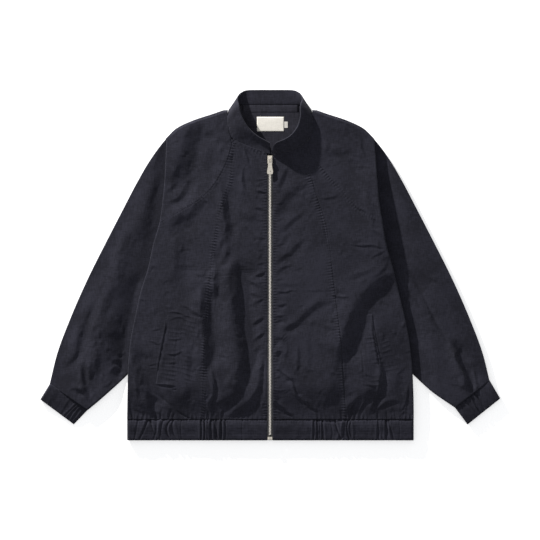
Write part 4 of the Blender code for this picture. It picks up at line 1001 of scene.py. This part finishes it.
# ---------------------------------------------------------------- collar
COLLAR_TURN = [  # seam across, down, height; free edge across, down, height
    (0.0, 105.0, 0.0, 0.0, 90.0, 0.0), (15.0, 105.0, 0.0, 13.0, 90.0, 0.0),
    (27.0, 105.0, 0.2, 23.5, 90.4, 1.5), (34.0, 105.4, 2.5, 28.5, 92.6, 6.5),
    (39.4, 108.0, 6.0, 31.5, 95.6, 13.0), (41.8, 111.5, 11.5, 32.2, 100.0, 21.0),
]
COLLAR_FRONT = {  # seam across, down; free edge across, down, rise above the body
    LEFT: [(42.4, 117.0, 30.8, 106.0, 6.0), (42.0, 127.0, 28.8, 115.0, 7.5),
           (39.6, 137.0, 24.5, 123.5, 8.5), (31.5, 143.6, 19.0, 131.2, 8.0),
           (20.0, 148.4, 12.0, 137.2, 7.0), (9.0, 152.3, 6.0, 140.6, 5.5), (-0.5, 154.6, 0.4, 143.6, 4.5)],
    RIGHT: [(42.6, 117.0, 30.4, 106.0, 13.0), (42.4, 127.0, 30.0, 117.5, 14.5),
            (40.6, 137.0, 26.8, 128.0, 17.0), (32.5, 145.4, 20.5, 136.4, 19.5),
            (20.0, 151.6, 12.5, 141.2, 19.5), (9.0, 154.2, 5.6, 144.0, 16.5), (1.6, 155.2, 1.7, 149.5, 7.5)],
}
COLLAR_WALL = 2.2
COLLAR_RISE = {LEFT: 0.84, RIGHT: 1.0}


def collar():
    halves = []
    for side in SIDES:
        half = [(side, *row[:5], row[5] * COLLAR_RISE[side]) for row in COLLAR_TURN]
        for a, down, edge_a, edge_down, rise in COLLAR_FRONT[side]:
            ground = float(front_height(a, down + 2.0, side, plain=True))
            half.append((side, a, down, ground, edge_a, edge_down, ground + rise))
        halves.append(half)
    line = halves[0][::-1] + halves[1][1:]
    places = np.arange(len(line))
    fine = np.linspace(0.0, len(line) - 1.0, 241)
    seam_x, edge_x = [hermite(places, [row[0] * row[k] for row in line], fine) for k in (1, 4)]
    seam_y, seam_z, edge_y, edge_z = [hermite(places, [row[k] for row in line], fine) for k in (2, 3, 5, 6)]
    v = np.linspace(0.0, 1.0, 19)[:, None]
    x = seam_x + v * (edge_x - seam_x)
    down = seam_y + v * (edge_y - seam_y)
    hollow = smooth((4.5 - fine) / 3.0)     # the left front drops at once below its edge
    height = seam_z + (v + (v ** 3 - v) * hollow) * (edge_z - seam_z)
    lifted = smooth(height / 12.0)
    along = fine * 9.0
    height = height + 1.6 * (1.0 - hollow) * np.sin(math.pi * v) * lifted
    waves = 0.5 * noise(along, v * 16.0, 12.0, 70) + 0.14 * noise(along, v * 16.0 + 50, 3.4, 71)
    ticks = 0.22 * np.sin(2 * math.pi * along / 3.1 + 2 * noise(along, 0 * along, 9.0, 72))
    near_seam = bell(v, 0.16) + 0.5 * bell(v - 0.9, 0.1)
    height = height + (waves + ticks * near_seam) * lifted * smooth((1.0 - v) / 0.08)
    points = place(x, down, height, RIGHT)
    lying = 1.5 + 0.9 * smooth((1.0 - v) / 0.8) - 0.4 * (1.0 - smooth(v / 0.15))
    wall = lying + (COLLAR_WALL - lying) * lifted
    return shell("collar", points[::-1], wall[::-1, :, None], TWILL, flip=True, step=1)


# ---------------------------------------------------------------- hem band and cuffs
HEM_PLEATS = [  # x at the seam, half way and at the edge; half width, rise (a crest line)
    (131.5, 130, 129, 1.2, 0.7), (146, 142.5, 140, 2.4, 0.9), (152.5, 154.5, 156.5, 1.5, 1),
    (161, 158.5, 162, 1.3, 1.1), (170.5, 168.5, 172.5, 1.6, 1.3), (176, 176.5, 179, 1.4, 0.7),
    (199.5, 200, 200, 0.9, 1), (203, 203.5, 203, 0.8, 1.1), (206.5, 206.5, 206, 0.8, 0.9),
    (209.5, 208, 209, 1.2, 1.2), (214.5, 213.5, 214, 0.9, 1), (219.5, 219, 218.5, 0.9, 1.3),
    (223.5, 223.5, 223, 0.7, 1.1), (312, 312, 311.5, 0.8, 0.9), (315.5, 315.5, 315, 0.8, 1.1),
    (320.5, 320.5, 320, 0.9, 0.9), (324.5, 325, 326, 1.2, 0.8), (335.5, 339, 336, 1.5, 1.1),
    (343, 341, 342.5, 1, 1.2), (346.5, 345.5, 348, 0.9, 1.1), (350.5, 353, 352, 1.1, 1),
    (376.5, 376, 375.5, 1, 0.8), (381.5, 381, 381, 1, 0.9), (384.5, 384, 384.5, 0.8, 0.9),
    (390.5, 389, 391, 1.2, 1),
]
HEM_GROOVES = [  # x at the seam, half way and at the edge; half width, depth
    (139, 136.5, 135, 0.9, 0.8), (149, 144, 139.5, 1, 1.4), (150.5, 153.5, 158.5, 1, 1.8),
    (157, 156.5, 153.5, 0.7, 1), (164, 161, 160, 0.7, 1.2), (171.5, 167, 171.5, 1.1, 2.2),
    (174, 172.5, 177.5, 0.8, 1.4), (182, 181, 182.5, 0.6, 0.6), (201.3, 201.5, 201, 0.7, 1.8),
    (204.6, 205, 204.6, 0.6, 1.6), (208.2, 207.5, 207.8, 0.5, 1.1), (211.6, 211, 211.5, 0.7, 1.8),
    (213.5, 216, 218.5, 0.7, 1.5), (216.4, 216.5, 216, 0.5, 1.2), (221.6, 221.6, 221, 0.7, 2),
    (225.6, 225.8, 225, 0.5, 1.2), (243, 242, 243, 0.5, 0.4), (314, 314, 313.5, 0.6, 1.6),
    (317, 317.2, 317, 0.6, 1.7), (319.4, 319.8, 319.4, 0.5, 1.2), (322.6, 322.4, 323.5, 0.7, 1.4),
    (329, 332, 331, 0.6, 0.7), (334.5, 337.5, 341.5, 0.9, 1.9), (346, 344, 341, 0.7, 1.5),
    (348.6, 346.4, 349.5, 0.7, 1.7), (352, 349.6, 353, 0.6, 1.2), (377.6, 378.2, 378, 0.7, 1.3),
    (382, 381, 382, 0.5, 0.8), (385.5, 386.5, 385.5, 1, 2), (388.5, 390.5, 394, 0.7, 1.3),
    (399, 399.5, 399, 0.5, 0.4),
]


def hem_relief(x, y):
    v = (y - HEM_SEAM) / (HEM_END - HEM_SEAM)
    total = (0.45 * noise(x, y, 9.0, 80) + 0.12 * noise(x * 0.6, y, 2.2, 81)
             + 0.25 * noise(x, y * 0.5, 4.0, 85))
    for sign, table in ((1.15, HEM_PLEATS), (-1.35, HEM_GROOVES)):
        for top, middle, end, width, rise in table:
            line = top * (1 - v) * (1 - 2 * v) + middle * 4 * v * (1 - v) + end * v * (2 * v - 1)
            d = (x - line) / width
            total = total + sign * rise * np.exp(-np.abs(d) ** 1.6)
    ticks = np.sin(2 * math.pi * x / 2.9 + 3 * noise(x, y, 8.0, 82))
    total = total + 0.2 * ticks * bell(y - 420.5, 2.0)
    line = 421.8 + 0.5 * noise(x, 0 * x, 12.0, 83)
    patchy = np.clip(0.5 + 0.9 * noise(x, 0 * x, 20.0, 84), 0.0, 1.0)
    total = total - 0.5 * bell(y - line, 0.6) * patchy
    puff = 421.6 - 0.011 * (x - 331.0) ** 2
    total = total - 1.4 * bell(y - puff, 0.8) * smooth((x - 313.0) / 4.0) * smooth((348.0 - x) / 4.0)
    return total + 0.1 * np.sin(2 * math.pi * y / 2.7) * np.exp(-((noise(x, y, 30.0, 86)) ** 2) * 3.0)


HEM_WALL = 1.4


def hem_band():
    rows = np.array([(HEM_SEAM + SEAM, 1.9), (420.9, 0.0), (423.0, -0.6), (434.0, 0.6), (438.6, 1.2),
                     (HEM_END, 2.0)])
    downs = np.linspace(rows[0, 0], rows[-1, 0], 3 * 9 + 1)[:, None]
    drop = hermite(rows[:, 0], rows[:, 1], downs)
    turns = arc(0.0, 180.0, 14)[1:-1]
    edge = [float(curve(BODY_EDGE, HEM_SEAM, side)) - ROLL * 1.5 for side in SIDES]
    halves = []
    for side, outer in zip(SIDES, edge):
        across = np.linspace(FRONT_EDGE, outer, 3 * 84)
        x = ZIP_X + side * across
        calm = smooth((across[-1] - across) / 4.0) * smooth((across - 2.5) / 2.0)
        top = HEM_TOP - drop + hem_relief(x, downs) * calm
        height = 0.5 * (top[:, -1:] + top[:, -1:] * np.cos(turns))
        halves.append(np.concatenate([
            place(across, downs, top, side),
            place(outer + ROLL * 1.5 * np.sin(turns), downs, height, side)], axis=1))
    under = place(np.linspace(-edge[0], edge[1], 3 * 16 + 1) + 0 * downs, downs, 0.0, RIGHT)
    points = np.concatenate([halves[0], under, halves[1][:, ::-1]], axis=1)
    return shell("hem_band", points, HEM_WALL, TWILL, flip=True)


CUFF_CORNERS = {  # across, down: seam outer, seam inner, end outer, end inner
    LEFT: ((220.0, 384.0), (182.0, 410.0), (229.4, 399.2), (196.0, 424.2)),
    RIGHT: ((219.5, 380.5), (184.6, 407.5), (229.9, 398.2), (197.2, 424.2)),
}
CUFF_PLEATS = {  # share along the front, half width, rise
    LEFT: ((0.2, 0.05, 0.25), (0.55, 0.03, 0.35), (0.68, 0.02, 0.8), (0.76, 0.016, 1.1),
           (0.84, 0.014, 0.9), (0.91, 0.014, 0.6)),
    RIGHT: ((0.3, 0.03, 0.4), (0.46, 0.018, -2.0), (0.52, 0.014, 0.9), (0.57, 0.014, -2.2),
            (0.7, 0.016, -1.0), (0.77, 0.018, 0.7), (0.88, 0.016, -0.8)),
}
CUFF_TUCK = 1.0         # how far the cuff reaches under the end of the sleeve
# Height added, fall to the end, fall to the inner side.
CUFF_FALL = {LEFT: (2.0, 3.4, 4.0), RIGHT: (0.0, 0.4, 0.0)}


def cuff(side):
    seam_out, seam_in, end_out, end_in = [np.array(c) for c in CUFF_CORNERS[side]]
    turns = arc(0.0, 180.0, 11)[1:-1]
    front = np.linspace(0.04, 0.96, 3 * 24)
    back = np.linspace(0.96, 0.04, 3 * 6)
    step = (end_out - seam_out) / np.linalg.norm(end_out - seam_out)
    rows = []
    high, to_end, to_inner = CUFF_FALL[side]
    for v in np.linspace(0.0, 1.0, 16):
        outer = seam_out + v * (end_out - seam_out) - step * CUFF_TUCK * (1.0 - v)
        inner = seam_in + v * (end_in - seam_in) - step * CUFF_TUCK * (1.0 - v)
        crown = (7.4 + high - to_end * v + 1.1 * math.sin(math.pi * v)
                 - 0.8 * math.exp(-((v - 0.02) / 0.06) ** 2))
        wave = 0.12 * noise(front * 60, 0 * front + v * 16, 3.0, 95 + side) * smooth((0.98 - front) / 0.05)
        for share, width, rise in CUFF_PLEATS[side]:
            bend = share + 0.02 * math.sin(3.0 * v + 20.0 * share)
            d = (front - bend) / width
            wave = wave + rise * (np.exp(-d * d) - 0.5 * bell(d - 1.8, 1.1))
        shares = np.concatenate([front, 0.96 + 0.04 * np.sin(turns), back, 0.04 - 0.04 * np.sin(turns)])
        face = crown - to_inner * front + wave
        height = np.concatenate([face, 0.5 * face[-1] * (1 + np.cos(turns)), 0.0 * back,
                                 0.5 * face[0] * (1 - np.cos(turns))])
        spot = outer + shares[:, None] * (inner - outer)
        rows.append(place(spot[:, 0], spot[:, 1], height, side))
    return shell(named("cuff", side), np.array(rows), WALL, TWILL, flip=side == RIGHT, ring=True)


# ---------------------------------------------------------------- pockets, tape, label
WELT_WALL = 1.1
WELT_LIFT = 0.06
SLIT_LIFT = {LEFT: 0.06, RIGHT: 0.35}


def welt(side):
    downs = np.linspace(POCKET[0][0], POCKET[-1][0], 3 * 36 + 1)[:, None]
    inner, slit = curve(POCKET, downs, LEFT), curve(POCKET, downs, RIGHT)
    s = np.linspace(0.0, 1.0, 3 * 5 + 1)
    across = inner + s * (slit - inner)
    ends = np.minimum(downs - POCKET[0][0], POCKET[-1][0] - downs)
    edge = np.minimum(np.minimum(s, 1.0 - s) * 15.0, ends)
    stitched = -0.12 * bell(edge - 1.8, 0.5) * (s < 0.5)
    sewn = np.minimum(s * 15.0, ends)
    lift = WELT_LIFT + (SLIT_LIFT[side] - WELT_LIFT) * smooth((s - 0.3) / 0.7)
    lift = lift - 0.4 * (1.0 - smooth(sewn / 1.2)) + stitched
    height = front_height(across, downs, side) + lift
    return shell(named("welt", side), place(across, downs, height, side), WELT_WALL, TWILL,
                 flip=side == LEFT)


def inside_strip(name, x_from, x_to, down_from, down_to, wall, material, seed):
    across = np.linspace(x_from - ZIP_X, x_to - ZIP_X, 31)
    downs = np.linspace(down_from, down_to, 19)[:, None]
    x = ZIP_X + across
    edge = np.minimum(np.minimum(x - x_from, x_to - x), np.minimum(downs - down_from, down_to - downs))
    lift = 0.08 + 0.06 * noise(x, downs, 6.0, seed) - 0.06 * bell(edge - 0.9, 0.35)
    height = back_inside(x, downs) + wall + np.maximum(0.0, lift)
    return shell(name, place(across, downs, height, RIGHT), wall, material, step=1)


# ---------------------------------------------------------------- zip
CHAIN_TOP_ROW, CHAIN_END_ROW = 164.9, 436.2
TOOTH_PITCH = 1.5       # squares between teeth on one side
TAPE_WALL = 0.8


def zip_height(down, side=RIGHT):
    return front_height(FRONT_EDGE, down, side, plain=True)


def zip_tape(side):
    downs = np.linspace(156.5, HEM_END - 0.6, 3 * 150 + 1)[:, None]
    across = np.linspace(0.75, 5.5, 13)
    edge = 0.5 * (zip_height(downs, LEFT) + zip_height(downs))
    weave = 0.08 * np.sin(2 * math.pi * downs / 1.3) * bell(across - 2.2, 0.9)
    top = edge - 2.1 - smooth((downs - 426.0) / 9.0) + 0.5 * smooth((2.9 - across) / 0.8) + weave
    # the tape's colour is partly painted light, lifted to lighten the shaded gaps between the teeth
    return shell(named("zip_tape", side), place(across, downs, top, side), TAPE_WALL, TAPE,
                 flip=side == LEFT)


def zip_teeth():
    """Interlocked metal teeth: a body over the tape edge and a narrower head past the middle."""
    outline = [(1.15, -0.42), (1.15, 0.42), (0.25, 0.46), (-0.15, 0.34), (-0.5, 0.30), (-0.5, -0.30),
               (-0.15, -0.34), (0.25, -0.46)]      # across, down
    verts, faces = [], []
    count = int((CHAIN_END_ROW - CHAIN_TOP_ROW) / TOOTH_PITCH)
    for n in range(count):
        for side in SIDES:
            row = CHAIN_TOP_ROW + TOOTH_PITCH * (n + (0.5 if side == LEFT else 0.0))
            top = float(zip_height(row)) - 0.1
            base = len(verts)
            for scale, height in ((0.86, top), (1.0, top - 0.45), (1.0, top - 1.9)):
                verts += [tuple(place(0.3 + (a - 0.3) * scale, row + d * scale, height, side))
                          for a, d in outline]
            k = len(outline)
            rings = [[base + level * k + i for i in range(k)] for level in range(3)]
            tooth = [rings[0], rings[2][::-1]]
            for upper, lower in zip(rings, rings[1:]):
                tooth += [[upper[i], lower[i], lower[(i + 1) % k], upper[(i + 1) % k]] for i in range(k)]
            faces += [face if side == LEFT else face[::-1] for face in tooth]
    return mesh_object("zip_teeth", verts, faces, TEETH, smooth_faces=False)


# ---------------------------------------------------------------- stitching
STITCH_PITCH, STITCH_LENGTH, STITCH_HALF_WIDTH = 2.1, 1.5, 0.16      # squares


def stitch_run(path):
    """Stitches along a path on the front: the middle (x, y) and half length (dx, dy) of each."""
    steps = np.hypot(*np.diff(path, axis=0).T)
    total = np.concatenate([[0.0], np.cumsum(steps)])
    at = np.arange(0.5 * STITCH_PITCH, total[-1], STITCH_PITCH)
    x, y = np.interp(at, total, path[:, 0]), np.interp(at, total, path[:, 1])
    ahead = np.minimum(at + 0.3, total[-1])
    dx, dy = np.interp(ahead, total, path[:, 0]) - x, np.interp(ahead, total, path[:, 1]) - y
    size = np.maximum(np.hypot(dx, dy), 1e-6)
    return np.stack([x, y, dx / size * STITCH_LENGTH / 2, dy / size * STITCH_LENGTH / 2], axis=1)


def shifted(path, offset):
    """Path moved sideways."""
    way = np.gradient(path, axis=0)
    way /= np.linalg.norm(way, axis=1, keepdims=True)
    return path + offset * np.stack([-way[:, 1], way[:, 0]], axis=1)


def stitches():
    runs = []
    for side in SIDES:
        for offset in (-1.5, 1.5):
            runs.append(shifted(PATHS["princess", side][1:], offset))
            runs.append(shifted(PATHS["raglan", side][1:-1], offset))
        runs.append(np.array([(ZIP_X + side * 6.2, 157.0), (ZIP_X + side * 6.2, 417.0)]))
    runs.append(np.array([(131.0, 417.2), (265.0, 417.2)]))
    runs.append(np.array([(275.0, 417.2), (409.0, 417.2)]))
    rows = np.concatenate([stitch_run(path) for path in runs])
    x, y, dx, dy = rows.T
    sides = np.where(x < ZIP_X, LEFT, RIGHT)
    across = np.abs(x - ZIP_X)
    height = np.where(sides == LEFT, front_height(across, y, LEFT), front_height(across, y, RIGHT))
    verts, faces = [], []
    for i in range(len(rows)):
        length = math.hypot(dx[i], dy[i])
        nx, ny = -dy[i] / length * STITCH_HALF_WIDTH, dx[i] / length * STITCH_HALF_WIDTH
        base = len(verts)
        for px, py, up in ((x[i] - dx[i], y[i] - dy[i], -0.12), (x[i] + nx, y[i] + ny, 0.02),
                           (x[i], y[i], 0.22), (x[i] - nx, y[i] - ny, 0.02),
                           (x[i] + dx[i], y[i] + dy[i], -0.12), (x[i], y[i], -0.15)):
            verts.append(((px - ZIP_X) * GRID, (MID_DOWN - py) * GRID, (height[i] + up) * MM))
        for a, b in ((1, 2), (2, 3), (3, 5), (5, 1)):
            faces.append([base, base + a, base + b])
            faces.append([base + 4, base + b, base + a])
    return mesh_object("stitching", verts, faces, THREAD, smooth_faces=False)


# ---------------------------------------------------------------- build
def show(piece, nodes):
    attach(piece, "jacket")
    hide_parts(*nodes)
    return piece


FLAT = {  # width and length of the cut, and its area where it isn't a rectangle
    "back_panel": ((0.57, 0.63), 0.30), "front_centre": ((0.14, 0.56), 0.066),
    "front_side": ((0.17, 0.56), 0.066), "sleeve_front": ((0.30, 0.68), 0.105),
    "sleeve_back": ((0.22, 0.68), 0.085), "collar": ((0.046, 0.36), None),
    "hem_band": ((1.14, 0.044), None), "cuff": ((0.17, 0.036), None), "welt": ((0.032, 0.14), None),
    "neck_tape": ((0.108, 0.0112), None), "neck_label": ((0.054, 0.029), None),
    "size_tab": ((0.0064, 0.012), 0.0000768), "zip_tape": ((0.0095, 0.565), None),
}


def declare(stem):
    flat, area = FLAT[stem]
    flat = tuple(max(0.01, v) for v in flat)


back = show(back_panel(), ["back_panel"])
declare("back_panel")
for which in SIDES:
    for stem, build, rests in (
            ("sleeve_back", sleeve_back, ["floor"]),
            ("sleeve_front", sleeve_front, [named("sleeve_back", which)]),
            ("front_side", front_side, ["back_panel", named("sleeve_front", which)]),
            ("front_centre", front_centre, ["back_panel"]),
            ("cuff", cuff, ["floor"]),
            ("welt", welt, [named("front_side", which)])):
        made = show(build(which), [named(stem, which)])
        declare(stem)
    tape = show(zip_tape(which), [named("zip_tape", which)])
    declare("zip_tape")
band = show(hem_band(), ["hem_band"])
declare("hem_band")
neck = show(collar(), ["collar"])
declare("collar")
# The neck tape takes the lighter copy of the twill too: painted light.
for name, box, wall, material, slot in (
        ("neck_tape", (242.0, 298.6, 105.3, 112.0), 0.25, INSIDE_TWILL_PAINTED_LIGHT, "twill"),
        ("neck_label", (257.0, 284.0, 117.0, 131.5), 0.3, LABEL, "label"),
        ("size_tab", (284.3, 287.7, 121.9, 128.1), 0.3, SIZE, "label")):
    strip = show(inside_strip(name, *box, wall, material, len(name)), [name])
    declare(name)
show(zip_teeth(), ["zip_chain"])
thread = stitches()
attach(thread, "jacket")
for node in ("zip_slider", "zip_pull", "zip_box_left", "zip_box_right"):
    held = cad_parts[node]
    held.data.materials.clear()
    held.data.materials.append(METAL)

# ---------------------------------------------------------------- floor, light, camera
FLOOR_HALF = 3.0                 # metres
FLOOR_GLOW = 0.48
SKY_STRENGTH = 0.56
CAMERA_SPOT = (0.0, -0.011, 5.097)
LENS, SENSOR = 170.0, 36.0       # mm
LAMP_SIZE = 0.06
floor_mat, floor_tree, floor_shader = nodes_of("pale_floor")
floor_spot = add(floor_tree, "ShaderNodeTexCoord").outputs["Object"]
floor_tone = ramp(floor_tree, speckle(floor_tree, floor_spot, 3.0),
                  ((0.3, (0.90,) * 3), (0.7, (0.92,) * 3)))
wire(floor_tree, floor_shader, {"Base Color": floor_tone, "Roughness": 0.9, "Emission Color": (1.0,) * 4,
                                "Emission Strength": FLOOR_GLOW})
corners = [(x * FLOOR_HALF, y * FLOOR_HALF, 0.0) for x, y in ((-1, -1), (1, -1), (1, 1), (-1, 1))]
floor = mesh_object("floor", corners, [[0, 1, 2, 3]], floor_mat, smooth_faces=False)

scene = bpy.context.scene
scene.view_settings.view_transform = "Standard"
sky = bpy.data.worlds.new("soft_studio")
scene.world = sky
sky.use_nodes = True
wire(sky.node_tree, sky.node_tree.nodes["Background"],
     {"Color": (0.97, 0.98, 1.0, 1.0), "Strength": SKY_STRENGTH})

lamp = bpy.data.objects.new("key_light", bpy.data.lights.new("key_light", "POINT"))
lamp.data.energy = LAMP_POWER
lamp.data.shadow_soft_size = LAMP_SIZE
lamp.data.color = (1.0, 0.985, 0.96)
lamp.location = (-LIGHT_PLAN[0] * math.cos(LIGHT_RISE) * LAMP_FAR,
                 LIGHT_PLAN[1] * math.cos(LIGHT_RISE) * LAMP_FAR, math.sin(LIGHT_RISE) * LAMP_FAR)
scene.collection.objects.link(lamp)

lens = bpy.data.cameras.new("camera")
lens.lens, lens.sensor_width = LENS, SENSOR
camera = bpy.data.objects.new("camera", lens)
camera.location = CAMERA_SPOT
scene.collection.objects.link(camera)
scene.camera = camera
